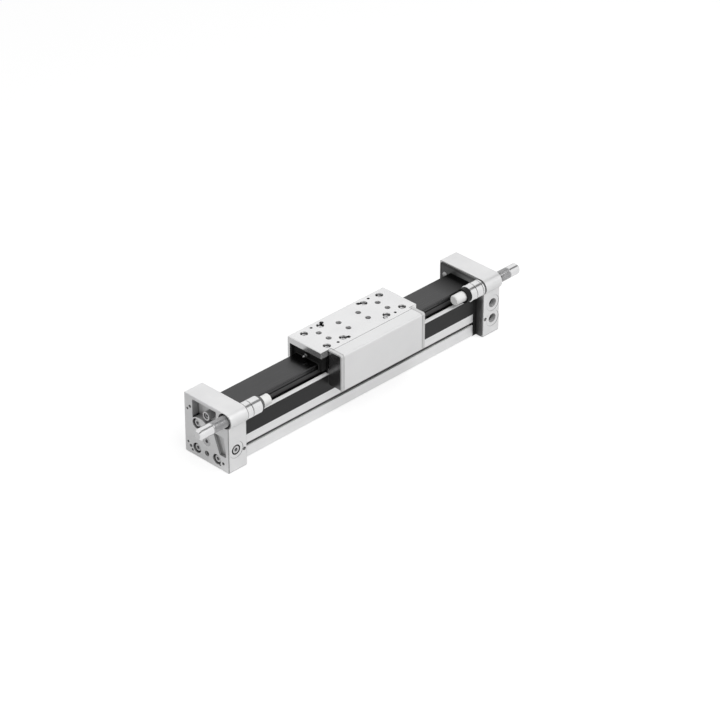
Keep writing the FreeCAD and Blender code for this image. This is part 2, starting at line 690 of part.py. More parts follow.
def side_ports(name, side):
    heights = [BORE_Z] if side < 0 else [f"{BORE_Z} - dims.far_port_below",
                                         f"{BORE_Z} + dims.far_port_above"]
    x = on_side(side, f"({END} - dims.port_from_face)")
    face = f"(-{HALF_CAP})"
    cuts = []
    for number, z in enumerate(heights):
        tag = f"{name}_port_{number}"
        cuts.append(rod(tag, "y", "dims.port_radius", f"{face} - 1", f"{face} + dims.port_depth", (x, z)))
        cuts.append(rod(tag + "_ring", "y", "dims.port_ring_radius", f"{face} - 1",
                        f"{face} + dims.port_ring_depth", (x, z)))
        cuts.append(rod(tag + "_drill", "y", "dims.drill_radius", face, "0", (x, z)))
    return cuts


def make_end_seals(name, side):
    # Black plate over the cap's inner face
    reach = span(side, f"{PROFILE_END} - 1", f"{CAP_INSIDE} + 1")
    damper_hole = "dims.ring_radius + dims.fit" if side < 0 else "dims.damper_radius + dims.fit"
    holes = [rod(f"{name}_plate_damper", "x", damper_hole, *reach, (DAMPER_Y, DAMPER_Z)),
             rod(f"{name}_plate_rail", "x", hole_for("rail_screw"), *reach, ("0", RAIL_MIDDLE)),
             rod(f"{name}_plate_air", "x", "dims.plug_hole", *reach, ("0", BORE_Z)),
             rod(f"{name}_plate_fixing", "x", hole_for("plate_screw"), *reach, PLATE_SCREW_SPOT)]
    for number, (y, z) in enumerate(CAP_SCREW_SPOTS):
        holes.append(rod(f"{name}_plate_screw_{number}", "x", hole_for("cap_screw"), *reach, (y, z)))
    whole = cap_block(f"{name}_plate", side, PLATE_INSIDE, CAP_INSIDE, "dims.profile_bottom",
                      "dims.cover_plate_inset")
    name_node(cut(f"{name}_cover_plate", whole, holes), f"{name}_cover_plate")

    # Gasket with the profile's outline
    half = HALF_PROFILE
    block = box(f"{name}_gasket_block", span(side, PROFILE_END, PLATE_INSIDE), (f"-{half}", half),
                ("dims.profile_bottom", LEDGE_Z))
    holes = [rod(f"{name}_gasket_bore", "x", "dims.bore_radius", *reach, ("0", BORE_Z))]
    for number, (y, z) in enumerate(CAP_SCREW_SPOTS):
        holes.append(rod(f"{name}_gasket_screw_{number}", "x", hole_for("cap_screw"), *reach, (y, z)))
    name_node(cut(f"{name}_gasket", block, holes), f"{name}_gasket")

    # Plug in the end of the bore; a flat on its inner end holds the sealing band's end
    radius = "(dims.bore_radius - dims.fit)"
    groove = f"({radius} - 2 * dims.o_ring_radius - dims.fit)"
    ring_x = f"({PROFILE_END} - dims.plug_in_bore / 3)"
    ring_low = f"({ring_x} - dims.o_ring_radius - dims.fit)"
    ring_high = f"({ring_x} + dims.o_ring_radius + dims.fit)"
    outline = [(PLUG_INSIDE, "dims.plug_hole"), (PLUG_INSIDE, radius), (ring_low, radius),
               (ring_low, groove),
               (ring_high, groove), (ring_high, radius), (PLATE_INSIDE, radius),
               (PLATE_INSIDE, "dims.plug_hole")]
    plug = turned(f"{name}_plug_turned", [(on_side(side, x), r) for x, r in outline])
    wide = "dims.band_width / 2 + dims.running_gap"
    flat = box(f"{name}_plug_flat", span(side, f"{PLUG_INSIDE} - 1", f"{PLUG_INSIDE} + dims.plug_flat"),
               (f"-({wide})", wide), (f"{BAND_UNDERSIDE} - dims.fit", "dims.bore_radius + 2"))
    name_node(tilt_to_slot(cut(f"{name}_bore_plug", plug, [flat])), f"{name}_bore_plug")

    ring = doc.addObject("Part::Torus", f"{name}_plug_seal")
    ring.setExpression("Radius1", "dims.bore_radius - dims.o_ring_radius - dims.fit")
    ring.setExpression("Radius2", "dims.o_ring_radius")
    place(ring, on_side(side, ring_x), "0", BORE_Z, (0, 1, 0), 90)
    name_node(ring, f"{name}_plug_seal")


def make_band():
    rest, dip = "dims.carriage_rest", BAND_DIP
    end = f"({PLUG_INSIDE} + dims.plug_flat)"
    flat_half = "(dims.driver_length / 2 + 3)"
    ramp_half = f"({HEAD_INNER} - 1)"
    top, low = f"({BAND_SEAT} - dims.fit)", BAND_UNDERSIDE
    outline = []
    for edge in (low, top):
        run = [(f"-{end}", edge), (f"{rest} - {ramp_half}", edge),
               (f"{rest} - {flat_half}", f"{edge} - {dip}"),
               (f"{rest} + {flat_half}", f"{edge} - {dip}"), (f"{rest} + {ramp_half}", edge), (end, edge)]
        outline += run if edge == low else run[::-1]
    half = "dims.band_width / 2"
    band = prism("inner_sealing_band", "XZ_Plane", outline, f"-{half}", half)
    tilt_to_slot(band)
    name_node(band, "inner_sealing_band")


# Shock absorber at one end; distances grow from the cap's inner face towards the carriage
def make_damper(name, side, seat, rings, buffer_tip, outside):
    def turned_part(label, points):
        part = turned(label, [(on_side(side, f"({CAP_INSIDE} - ({x}))"), r) for x, r in points])
        place(part, "0", DAMPER_Y, DAMPER_Z)
        return name_node(part, label)

    sleeve_end = f"({rings[-1][1]} + dims.{name}_bumper_length)"
    back = f"({buffer_tip} - dims.buffer_length)"
    # The body's front end stays behind the buffer when the buffer is level with its stop sleeve
    front = f"({sleeve_end} - dims.buffer_length - dims.running_gap)"
    outer = f"(-dims.cap_thickness - {outside})"
    edge = "dims.damper_edge"
    turned_part(f"{name}_damper_body", [
        (outer, "0"), (f"{outer} + dims.damper_back_wall", "0"),
        (f"{outer} + dims.damper_back_wall", "dims.damper_bore"),
        (f"{front} - dims.damper_wall", "dims.damper_bore"),
        (f"{front} - dims.damper_wall", "dims.rod_radius + dims.running_fit"),
        (front, "dims.rod_radius + dims.running_fit"), (front, "dims.damper_radius"),
        (f"{outer} + {edge}", "dims.damper_radius"), (outer, f"dims.damper_radius - {edge}"),
    ])
    start = seat
    for label, stop in rings:
        bevel = "dims.ring_edge"
        turned_part(f"{name}_{label}", [
            (start, SLEEVE_BORE), (start, f"dims.ring_radius - {bevel}"),
            (f"{start} + {bevel}", "dims.ring_radius"),
            (f"{stop} - {bevel}", "dims.ring_radius"), (stop, f"dims.ring_radius - {bevel}"),
            (stop, SLEEVE_BORE),
        ])
        start = stop
    # Dark elastic ring on the end of the stop sleeve
    ring_radius = f"({SLEEVE_BORE} + dims.{name}_bumper_wall)"
    turned_part(f"{name}_bumper_ring", [
        (start, SLEEVE_BORE), (start, ring_radius), (sleeve_end, ring_radius),
        (sleeve_end, SLEEVE_BORE),
    ])
    head = f"({front} - dims.damper_wall - dims.running_gap)"
    turned_part(f"{name}_damper_rod", [
        (f"{back} + dims.rod_in_buffer", "0"), (f"{back} + dims.rod_in_buffer", "dims.rod_radius"),
        (head, "dims.rod_radius"),
        (head, "dims.damper_bore - dims.running_fit"),
        (f"{head} - dims.damper_piston_length", "dims.damper_bore - dims.running_fit"),
        (f"{head} - dims.damper_piston_length", "0"),
    ])
    edge = "dims.buffer_edge"
    turned_part(f"{name}_buffer", [
        (f"{back} + dims.rod_in_buffer", "0"),
        (f"{back} + dims.rod_in_buffer", "dims.rod_radius + dims.fit"),
        (back, "dims.rod_radius + dims.fit"), (back, f"dims.buffer_radius - {edge} / 2"),
        (f"{back} + {edge} / 2", "dims.buffer_radius"),
        (f"{buffer_tip} - {edge}", "dims.buffer_radius"), (buffer_tip, f"dims.buffer_radius - {edge}"),
        (buffer_tip, "0"),
    ])


# X of a place on the carriage, measured from the carriage's own middle
def riding(expression):
    return f"(dims.carriage_rest + ({expression}))"


def riding_span(side, low, high):
    low, high = span(side, low, high)
    return riding(low), riding(high)


# The same for pieces of the side cover, which sits a little off the carriage's middle
def on_cover(expression):
    return riding(f"dims.cover_shift + ({expression})")


def cover_span(side, low, high):
    low, high = span(side, low, high)
    return on_cover(low), on_cover(high)


TABLE_SCREW_SEAT = "(dims.table_screw_head_height + dims.table_screw_sink)"
TABLE_SCREW_SPOTS = [(f"({i} * dims.runner_middle + {j} * dims.runner_screw_x / 2)",
                      f"({k} * dims.runner_screw_y / 2 - dims.table_offset)")
                     for i in (-1, 1) for j in (-1, 1) for k in (-1, 1)]
DRIVER_SCREW_SPOTS = [(f"({i} * dims.driver_length * 0.3)", f"({PLATE_RIGHT} + dims.driver_screw_inset)")
                      for i in (-1, 1)]


def make_plate():
    left, right = PLATE_LEFT, PLATE_RIGHT
    near, far = riding("-dims.plate_length / 2"), riding("dims.plate_length / 2")
    tongue_near, tongue_far = on_cover("-dims.tongue_length / 2"), on_cover("dims.tongue_length / 2")
    outline = [(near, left), (near, right), (tongue_near, right), (tongue_near, TONGUE_RIGHT),
               (tongue_far, TONGUE_RIGHT),
               (tongue_far, right), (far, right), (far, left)]
    block = prism("plate_block", "XY_Plane", outline, PLATE_LOW, PLATE_TOP)
    outer = [dict(x=near), dict(x=far), dict(y=left)]
    dress(block, "Chamfer", "dims.plate_edge",
          lambda edge: lies_at(edge, z=PLATE_TOP) and any(lies_at(edge, **at) for at in outer))
    skirt = box("plate_skirt", (near, far), (f"{left} - dims.skirt_thickness", left),
                (f"{PLATE_LOW} - dims.skirt_drop", PLATE_LOW))

    def drill(tag, radius, depth, x, y):
        return rod(f"plate_{tag}", "z", radius, f"{PLATE_TOP} - {depth}", f"{PLATE_TOP} + 1",
                   (riding(x), y))

    through = "(dims.plate_thickness + 1)"
    cuts = []
    for i in (-1.5, -0.5, 0.5, 1.5):
        for j in (-0.5, 0.5):
            cuts.append(drill(f"thread_{i}_{j}", "dims.table_thread_radius", through,
                              f"{i} * dims.table_pitch_x",
                              f"{j} * dims.table_pitch_y - dims.table_offset"))
    for number, (x, y) in enumerate(TABLE_SCREW_SPOTS):
        cuts.append(drill(f"screw_hole_{number}", hole_for("table_screw"), through, x, y))
        wide = "dims.table_screw_head_radius + dims.table_screw_room"
        cuts.append(drill(f"screw_sink_{number}", wide, TABLE_SCREW_SEAT, x, y))
    for i in (-1, 1):
        for j in (-1, 1):
            y = f"{j} * dims.pin_y - dims.table_offset"
            cuts.append(drill(f"pin_{i}_{j}", "dims.pin_radius", "dims.pin_depth", f"{i} * dims.pin_x", y))
            cuts.append(drill(f"spot_{i}_{j}", "dims.spot_radius", "dims.spot_depth", f"{i} * dims.spot_x",
                              y))
    for number, (x, y) in enumerate(DRIVER_SCREW_SPOTS):
        cuts.append(rod(f"plate_driver_{number}", "z", hole_for("driver_screw"), f"{PLATE_LOW} - 1",
                        f"{PLATE_LOW} + dims.driver_screw_grip + dims.fit", (riding(x), y)))
    name_node(cut("carriage_plate", fuse("plate_whole", [block, skirt]), cuts), "carriage_plate")
    length = f"dims.plate_thickness - {TABLE_SCREW_SEAT} + dims.table_screw_grip"
    copies("carriage_screws", screw("table_screw", length),
           [("+z", riding(x), y, f"{PLATE_TOP} - {TABLE_SCREW_SEAT}") for x, y in TABLE_SCREW_SPOTS])


# Upside-down L of the cover and its end frames, from the given left edge
def cover_section(left):
    return [(left, PLATE_TOP), (COVER_RIGHT, PLATE_TOP), (COVER_RIGHT, COVER_LOW),
            (COVER_INNER, COVER_LOW),
            (COVER_INNER, COVER_CEILING), (left, COVER_CEILING)]


# Rounds the upper right edge outside, and inside so that the wall keeps its thickness
def round_cover(body):
    dress(body, "Fillet", "dims.cover_corner",
          lambda edge: runs_along(edge, "x") and lies_at(edge, y=COVER_RIGHT, z=PLATE_TOP))
    return dress(body, "Fillet", "dims.cover_corner - dims.cover_wall",
                 lambda edge: runs_along(edge, "x") and lies_at(edge, y=COVER_INNER, z=COVER_CEILING))


def make_cover():
    half = "dims.tongue_length / 2"
    cover = prism("side_cover", "YZ_Plane", cover_section(f"({TONGUE_RIGHT} - dims.seam)"),
                  on_cover(f"-{half}"), on_cover(half))
    name_node(round_cover(cover), "side_cover")
    left = f"({PLATE_RIGHT} - dims.seam)"
    right = f"({COVER_INNER} + dims.fit)"
    low, top = f"({COVER_LOW} + dims.running_gap)", f"({COVER_CEILING} - dims.fit)"
    for name, side in ENDS:
        frame = prism(f"{name}_end_frame", "YZ_Plane", cover_section(left),
                      *cover_span(side, FRAME_INNER, FRAME_OUTER))
        name_node(round_cover(frame), f"{name}_end_frame")
        panel = prism(f"{name}_end_panel", "YZ_Plane",
                      [(left, low), (left, top), (right, top), (right, low)],
                      *cover_span(side, PANEL_INNER, PANEL_OUTER))
        dress(panel, "Fillet", "dims.cover_corner - dims.cover_wall + dims.fit",
              lambda edge: runs_along(edge, "x") and lies_at(edge, y=right, z=top))
        name_node(panel, f"{name}_end_panel")


STOP_SCREW_SPOTS = [(f"dims.runner_middle + {i} * dims.stop_screw_pitch / 2",
                     f"({STOP_LOW} + dims.stop_screw_rise)")
                    for i in (-1, 1)]
LEG_THICKNESS = f"({RUNNER_HALF} - {CHANNEL_HALF})"


def make_stop_blocks():
    left = f"(-{RUNNER_HALF} - dims.fit)"
    right = f"({COVER_INNER} + dims.fit)"
    step = f"({TONGUE_RIGHT} - dims.running_gap)"
    section = [(left, STOP_LOW), (left, f"{PLATE_LOW} - dims.fit"),
               (step, f"{PLATE_LOW} - dims.fit"),
               (step, f"{COVER_CEILING} - dims.fit"),
               (f"{right} + dims.cover_corner / 2", f"{COVER_CEILING} - dims.fit"),
               (right, f"{COVER_CEILING} - dims.cover_corner / 2"), (right, STOP_LOW)]
    seat = f"{left} - dims.stop_screw_hold"
    wide = "dims.stop_screw_head_radius + dims.stop_screw_room"
    spots = []
    for name, side in ENDS:
        outer = f"({PANEL_INNER} - dims.fit)"
        block = prism(f"{name}_stop_blank", "YZ_Plane", section,
                      *cover_span(side, f"{outer} - dims.stop_block_length", outer))
        holes = []
        for number, (x, z) in enumerate(STOP_SCREW_SPOTS):
            place_x = on_cover(on_side(side, x))
            holes.append(rod(f"{name}_stop_hole_{number}", "y", hole_for("stop_screw"), f"{right} - 1",
                             f"{left} + 1", (place_x, z)))
            holes.append(rod(f"{name}_stop_sink_{number}", "y", wide, f"{right} - 1", seat, (place_x, z)))
            spots.append(("-y", place_x, seat, z))
        name_node(cut(f"{name}_stop_block", block, holes), f"{name}_stop_block")
    length = f"dims.stop_screw_hold + {LEG_THICKNESS} - dims.stop_screw_wall"
    copies("stop_block_screws", screw("stop_screw", length), spots)


def make_runners():
    section = [(f"-{RUNNER_HALF}", RUNNER_LOW), (f"-{CHANNEL_HALF}", RUNNER_LOW),
               (f"-{CHANNEL_HALF}", f"{RAIL_TOP} + dims.running_gap * 2"),
               (CHANNEL_HALF, f"{RAIL_TOP} + dims.running_gap * 2"),
               (CHANNEL_HALF, RUNNER_LOW),
               (SKIRT_INNER, RUNNER_LOW),
               (SKIRT_INNER, PLATE_LOW),
               (f"-{RUNNER_HALF}", PLATE_LOW)]
    balls = []
    for name, side in ENDS:
        x = riding_span(side, RUNNER_INNER, RUNNER_OUTER)
        block = prism(f"{name}_runner_block", "YZ_Plane", section, *x)
        cuts = []
        for sign in (-1, 1):
            cuts.append(rod(f"{name}_track_{sign}", "x", "dims.ball_groove_radius", f"{x[0]} - 1",
                            f"{x[1]} + 1", (f"{sign} * {BALL_Y}", BALL_Z)))
            for number in range(BALLS_PER_ROW):
                ball = doc.addObject("Part::Sphere", f"{name}_ball_{sign}_{number}")
                ball.setExpression("Radius", "dims.ball_radius")
                along = f"{side} * dims.runner_middle + {number - (BALLS_PER_ROW - 1) / 2} * dims.ball_pitch"
                place(ball, riding(along), f"{sign} * {BALL_Y}", BALL_Z)
                balls.append(ball)
        for number, (x_spot, y) in enumerate(TABLE_SCREW_SPOTS):
            cuts.append(rod(f"{name}_runner_screw_{number}", "z", hole_for("table_screw"),
                            f"{PLATE_LOW} - dims.table_screw_grip - dims.fit",
                            f"{PLATE_LOW} + 1", (riding(x_spot), y)))
        for number, (x_spot, z) in enumerate(STOP_SCREW_SPOTS):
            cuts.append(rod(f"{name}_runner_stop_{number}", "y", hole_for("stop_screw"),
                            f"-{RUNNER_HALF} - 1",
                            f"-{CHANNEL_HALF} - dims.stop_screw_wall + dims.fit * 2",
                            (on_cover(on_side(side, x_spot)), z)))
        nipple_x = riding_span(side, f"{RUNNER_OUTER} - dims.nipple_depth - dims.fit",
                               f"{RUNNER_OUTER} + 1")
        cuts.append(rod(f"{name}_runner_nipple", "x", "dims.nipple_radius + dims.fit", *nipple_x,
                        ("0", NIPPLE_Z)))
        name_node(cut(f"{name}_runner", block, cuts), f"{name}_runner")
    group("guide_balls", balls)
    make_wipers()


def make_wipers():
    left = SKIRT_INNER
    right = f"({PLATE_RIGHT} + dims.wiper_inset)"
    low, top = f"({RAIL_TOP} - dims.wiper_drop)", f"({PLATE_LOW} - dims.fit)"
    gap = CHANNEL_HALF
    section = [(right, low), (f"-{gap}", low), (f"-{gap}", f"{RAIL_TOP} + dims.running_gap"),
               (gap, f"{RAIL_TOP} + dims.running_gap"),
               (gap, low), (left, low), (left, top), (right, top)]
    nipples = []
    for name, side in ENDS:
        x = riding_span(side, RUNNER_OUTER, WIPER_OUTER)
        block = prism(f"{name}_wiper_block", "YZ_Plane", section, *x)
        hole = rod(f"{name}_wiper_hole", "x", "dims.nipple_radius + dims.fit", f"{x[0]} - 1", f"{x[1]} + 1",
                   ("0", NIPPLE_Z))
        name_node(cut(f"{name}_wiper", block, [hole]), f"{name}_wiper")
        radius, length = "dims.nipple_radius", "dims.nipple_length"
        inner = f"{RUNNER_OUTER} - dims.nipple_depth"
        nipple = turned(f"{name}_nipple", [
            (inner, "0"), (inner, radius), (WIPER_OUTER, radius), (WIPER_OUTER, f"{radius} * 1.5"),
            (f"{WIPER_OUTER} + {length} * 0.4", f"{radius} * 1.5"),
            (f"{WIPER_OUTER} + {length} * 0.5", f"{radius} * 0.75"),
            (f"{WIPER_OUTER} + {length} * 0.77", radius), (f"{WIPER_OUTER} + {length}", f"{radius} * 0.5"),
            (f"{WIPER_OUTER} + {length}", "0"),
        ])
        link = doc.addObject("App::Link", f"{name}_nipple_link")
        link.LinkedObject = nipple
        place(link, riding("0"), "0", NIPPLE_Z, (0, 0, 1), 0 if side > 0 else 180)
        nipples.append(link)
    group("lube_nipples", nipples)


FOOT_SCREW_SPOTS = [(f"({i} * dims.driver_length * 0.35)",
                     f"({j} * (dims.foot_width + dims.foot_channel) / 4)")
                    for i in (-1, 1) for j in (-1, 1)]
# Heads lie in the yoke from below, and stay inside the bore
FOOT_HEAD_REACH = "((dims.foot_width + dims.foot_channel) / 4 + dims.foot_screw_head_radius)"
FOOT_HEAD_LIMIT = (f"(sqrt(dims.bore_radius ^ 2 - {FOOT_HEAD_REACH} ^ 2) "
                   "- dims.foot_screw_head_height - dims.running_gap)")
FOOT_SCREW_SEAT = f"(-min({YOKE_RADIUS} * 0.7; {FOOT_HEAD_LIMIT}))"


def make_driver():
    half = "dims.driver_length / 2"
    length = (f"-{half}", half)
    foot_low, foot_high = f"({YOKE_FLAT} + dims.fit)", FOOT_HIGH
    blade_high = f"(({PLATE_LOW} - dims.driver_flange / 2 - {BORE_Z}) / cos({SLOT_TILT}))"
    pieces = [
        box("driver_blade_box", length, ("-dims.driver_blade / 2", "dims.driver_blade / 2"),
            (foot_high, blade_high)),
        box("driver_bridge", length, ("-dims.foot_bridge_width / 2", "dims.foot_bridge_width / 2"),
            (foot_high, FOOT_TOP)),
        box("driver_leg_left", length, ("dims.foot_channel / 2", "dims.foot_width / 2"),
            (foot_low, foot_high)),
        box("driver_leg_right", length, ("-dims.foot_width / 2", "-dims.foot_channel / 2"),
            (foot_low, foot_high)),
    ]
    holes = []
    for number, (x, v) in enumerate(FOOT_SCREW_SPOTS):
        holes.append(rod(f"driver_foot_hole_{number}", "z", hole_for("foot_screw"), "0",
                         f"{foot_high} - dims.foot_screw_cover / 2",
                         (x, v)))
    lower = cut("driver_lower", fuse("driver_lower_block", pieces), holes)
    tilt_to_slot(lower, "dims.carriage_rest")
    flange_right = f"(-{SLOT_SLOPE} * ({PLATE_LOW} - {BORE_Z}) - dims.driver_blade)"
    flange_left = f"({PLATE_RIGHT} + dims.driver_flange_left)"
    flange = box("driver_flange_box", (riding(f"-{half}"), riding(half)), (flange_right, flange_left),
                 (f"{PLATE_LOW} - dims.driver_flange", PLATE_LOW))
    screw_holes = [rod(f"driver_screw_hole_{number}", "z", hole_for("driver_screw"),
                       f"{PLATE_LOW} - dims.driver_flange * 2",
                       f"{PLATE_LOW} + 1", (riding(x), y))
                   for number, (x, y) in enumerate(DRIVER_SCREW_SPOTS)]
    name_node(cut("driver", fuse("driver_whole", [lower, flange]), screw_holes), "driver")
    seat = f"{PLATE_LOW} - dims.driver_flange"
    copies("driver_screws", screw("driver_screw", "dims.driver_flange + dims.driver_screw_grip"),
           [("-z", riding(x), y, seat) for x, y in DRIVER_SCREW_SPOTS])


def make_piston():
    # Yoke: a round bar with a flat, drawn about the bore axis with local Z along the slot
    inner = HEAD_INNER
    wide = ("-dims.bore_radius * 2", "dims.bore_radius * 2")
    bar = rod("yoke_bar", "x", YOKE_RADIUS, f"-{inner}", inner, ("0", "0"))
    cuts = [box("yoke_flat_cut", (f"-{inner} - 1", f"{inner} + 1"), wide, (YOKE_FLAT, wide[1]))]
    for number, (x, v) in enumerate(FOOT_SCREW_SPOTS):
        cuts.append(rod(f"yoke_foot_hole_{number}", "z", hole_for("foot_screw"), *wide, (x, v)))
        sink = "dims.foot_screw_head_radius + dims.foot_screw_room"
        cuts.append(rod(f"yoke_foot_sink_{number}", "z", sink, wide[0], FOOT_SCREW_SEAT, (x, v)))
    magnets = []
    for side in (-1, 1):
        where = (f"{side} * {inner} * 0.8", "0")
        bottom = f"-{YOKE_RADIUS} + dims.magnet_sink"
        depth = (bottom, f"{bottom} + dims.magnet_length")
        cuts.append(rod(f"yoke_magnet_hole_{side}", "z", "dims.magnet_radius + dims.fit", wide[0],
                        depth[1] + " + dims.fit", where))
        magnets.append(rod(f"magnet_{side}", "z", "dims.magnet_radius", *depth, where))
        low, high = span(side, f"{inner} - dims.head_screw_grip - 1", f"{inner} + 1")
        cuts.append(rod(f"yoke_head_thread_{side}", "x", hole_for("head_screw"), low, high, ("0", "0")))
    yoke = cut("piston_yoke", bar, cuts)
    name_node(tilt_to_slot(yoke, "dims.carriage_rest"), "piston_yoke")
    magnet_group = group("piston_magnets", magnets)
    tilt_to_slot(magnet_group, "dims.carriage_rest")

    master = screw("foot_screw", f"{FOOT_HIGH} - dims.foot_screw_cover - {FOOT_SCREW_SEAT}")
    foot_screws = copies("driver_foot_screws", master,
                         [("-z", x, v, FOOT_SCREW_SEAT) for x, v in FOOT_SCREW_SPOTS])
    tilt_to_slot(foot_screws, "dims.carriage_rest")

    # Heads with their seals; a flat lets the sealing band pass
    head_screw_seat = "(dims.piston_half_length - dims.head_screw_head_height - dims.head_screw_sink)"
    head_screw_room = "dims.head_screw_head_radius + dims.head_screw_room"
    head_radius = "(dims.bore_radius - dims.running_gap)"
    seal_low = f"({HEAD_INNER} + dims.piston_head_length / 2)"
    seal_high = f"({seal_low} + dims.seal_width)"
    groove = f"({head_radius} - dims.seal_depth)"
    screw_spots = []
    for name, side in ENDS:
        def outline(points):
            return [(on_side(side, x), r) for x, r in points]

        head = turned(f"{name}_head_turned", outline([
            (HEAD_INNER, hole_for("head_screw")), (HEAD_INNER, head_radius), (seal_low, head_radius),
            (seal_low, groove), (seal_high, groove),
            (seal_high, head_radius), ("dims.piston_half_length", head_radius),
            ("dims.piston_half_length", head_screw_room),
            (head_screw_seat, head_screw_room), (head_screw_seat, hole_for("head_screw")),
        ]))
        lip = turned(f"{name}_seal_turned", outline([
            (f"{seal_low} + dims.fit", f"{groove} + dims.fit"),
            (f"{seal_low} + dims.fit", "dims.bore_radius - dims.running_fit"),
            (f"{seal_high} - dims.fit", "dims.bore_radius - dims.running_fit"),
            (f"{seal_high} - dims.fit", f"{groove} + dims.fit"),
        ]))
        for body, label in ((head, f"{name}_piston_head"), (lip, f"{name}_piston_seal")):
            flat = box(label + "_flat", span(side, f"{HEAD_INNER} - 1", "dims.piston_half_length + 1"),
                       wide, (BAND_CLEAR, wide[1]))
            piece = cut(label, body, [flat])
            name_node(tilt_to_slot(piece, "dims.carriage_rest"), label)
        screw_spots.append(("+x" if side > 0 else "-x", riding(on_side(side, head_screw_seat)), "0",
                            BORE_Z))
    length = f"{head_screw_seat} - {HEAD_INNER} + dims.head_screw_grip"
    copies("piston_head_screws", screw("head_screw", length), screw_spots)


def make_cap_fasteners():
    cap_spots = []
    rail_spots = []
    for name, side in ENDS:
        way = "+x" if side > 0 else "-x"
        seat = on_side(side, f"({END} - {CAP_SCREW_SEAT})")
        cap_spots += [(way, seat, y, z) for y, z in CAP_SCREW_SPOTS]
        rail_spots.append((way, on_side(side, f"({END} - {RAIL_SCREW_SEAT})"), "0", RAIL_MIDDLE))
    to_profile = f"({END} - {PROFILE_END} - {CAP_SCREW_SEAT})"
    copies("cap_screws", screw("cap_screw", f"{to_profile} + dims.cap_screw_grip"), cap_spots)
    to_rail = f"({END} - {PLATE_INSIDE} - {RAIL_SCREW_SEAT})"
    copies("rail_end_screws", screw("rail_screw", f"{to_rail} + dims.rail_screw_grip"), rail_spots)
    make_plate_screws()
    make_port_plugs()


# Round-headed screws that hold the black plates on the caps, drawn with the bottom of the head at X = 0
def make_plate_screws():
    radius, head_radius = "dims.plate_screw_radius", "dims.plate_screw_head_radius"
    head = "dims.plate_screw_head_height"
    tip = f"dims.fit - {PLATE_SCREW_LENGTH}"
    master = turned("plate_screw", [
        (tip, "0"), (head, "0"), (f"{head} * 0.85", f"{head_radius} * 0.5"),
        (f"{head} * 0.45", f"{head_radius} * 0.88"),
        ("0", head_radius), ("0", radius), (tip, radius),
    ])
    y, z = PLATE_SCREW_SPOT
    copies("cover_plate_screws", master, [("+x", f"-{PLATE_INSIDE}", y, z), ("-x", PLATE_INSIDE, y, z)])


# Flush plugs in the ports that are not in use; one is drawn with its outer face at X = 0
def make_port_plugs():
    inner = "dims.port_ring_depth + dims.fit * 2 - dims.port_depth"
    blank = rod("port_plug_blank", "x", "dims.port_radius - dims.fit", inner, "0", ("0", "0"))
    socket = doc.addObject("Part::Prism", "port_plug_socket")
    socket.Polygon = 6
    socket.setExpression("Circumradius", "dims.port_radius * 0.45")
    socket.setExpression("Height", "dims.port_depth / 2 + 1")
    place(socket, "-dims.port_depth / 2", axis=(0, 1, 0), angle=90)
    plug = cut("port_plug", blank, [socket])
    side_x = on_side(-1, f"({END} - dims.port_from_face)")
    side_y = f"(dims.port_ring_depth + dims.fit - {HALF_CAP})"
    front_x = f"({END} - dims.fit)"
    copies("port_plugs", plug,
           [("-y", side_x, side_y, BORE_Z), ("-x", f"-{front_x}", "0", BORE_Z),
            ("+x", front_x, "0", BORE_Z)])


make_profile()
make_rail()
for end_name, end_side in ENDS:
    make_cap(end_name, end_side)
    make_end_seals(end_name, end_side)
make_band()
# The near lock ring clamps on the lug itself, the far rings on the plate
make_damper("near", -1, "0", [("lock_ring", "dims.near_ring_end"), ("stop_sleeve", "dims.near_sleeve_end")],
            "dims.near_buffer_tip", "dims.near_damper_outside")
make_damper("far", 1, "dims.cover_plate",
            [("spacer_ring", "dims.far_spacer_end"), ("lock_ring", "dims.far_ring_end"),
             ("stop_sleeve", "dims.far_sleeve_end")],
            "dims.far_buffer_tip", "dims.far_damper_outside")
make_plate()
make_cover()
make_stop_blocks()
make_runners()
make_driver()
make_piston()
make_cap_fasteners()

for item in NODES.values():
    own_y = dict(item.ExpressionEngine).get(".Placement.Base.y", "0")
    item.setExpression("Placement.Base.y", f"{own_y} + {AXIS_Y}")
doc.recompute()

failed = [item.Name for item in doc.Objects if "Invalid" in item.State or "Error" in item.State]
if failed:
    raise RuntimeError("these did not build: " + ", ".join(failed))
for label, item in NODES.items():
    if item.Shape.isNull() or not item.Shape.isValid() or not item.Shape.Solids:
        raise RuntimeError(label + " has no valid solid")
os.makedirs("parts", exist_ok=True)
for label, item in NODES.items():
    item.Shape.exportStep(f"parts/{label}.step")
    print(label, len(item.Shape.Solids), "solids", round(item.Shape.Volume, 1), "mm3")
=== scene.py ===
import math

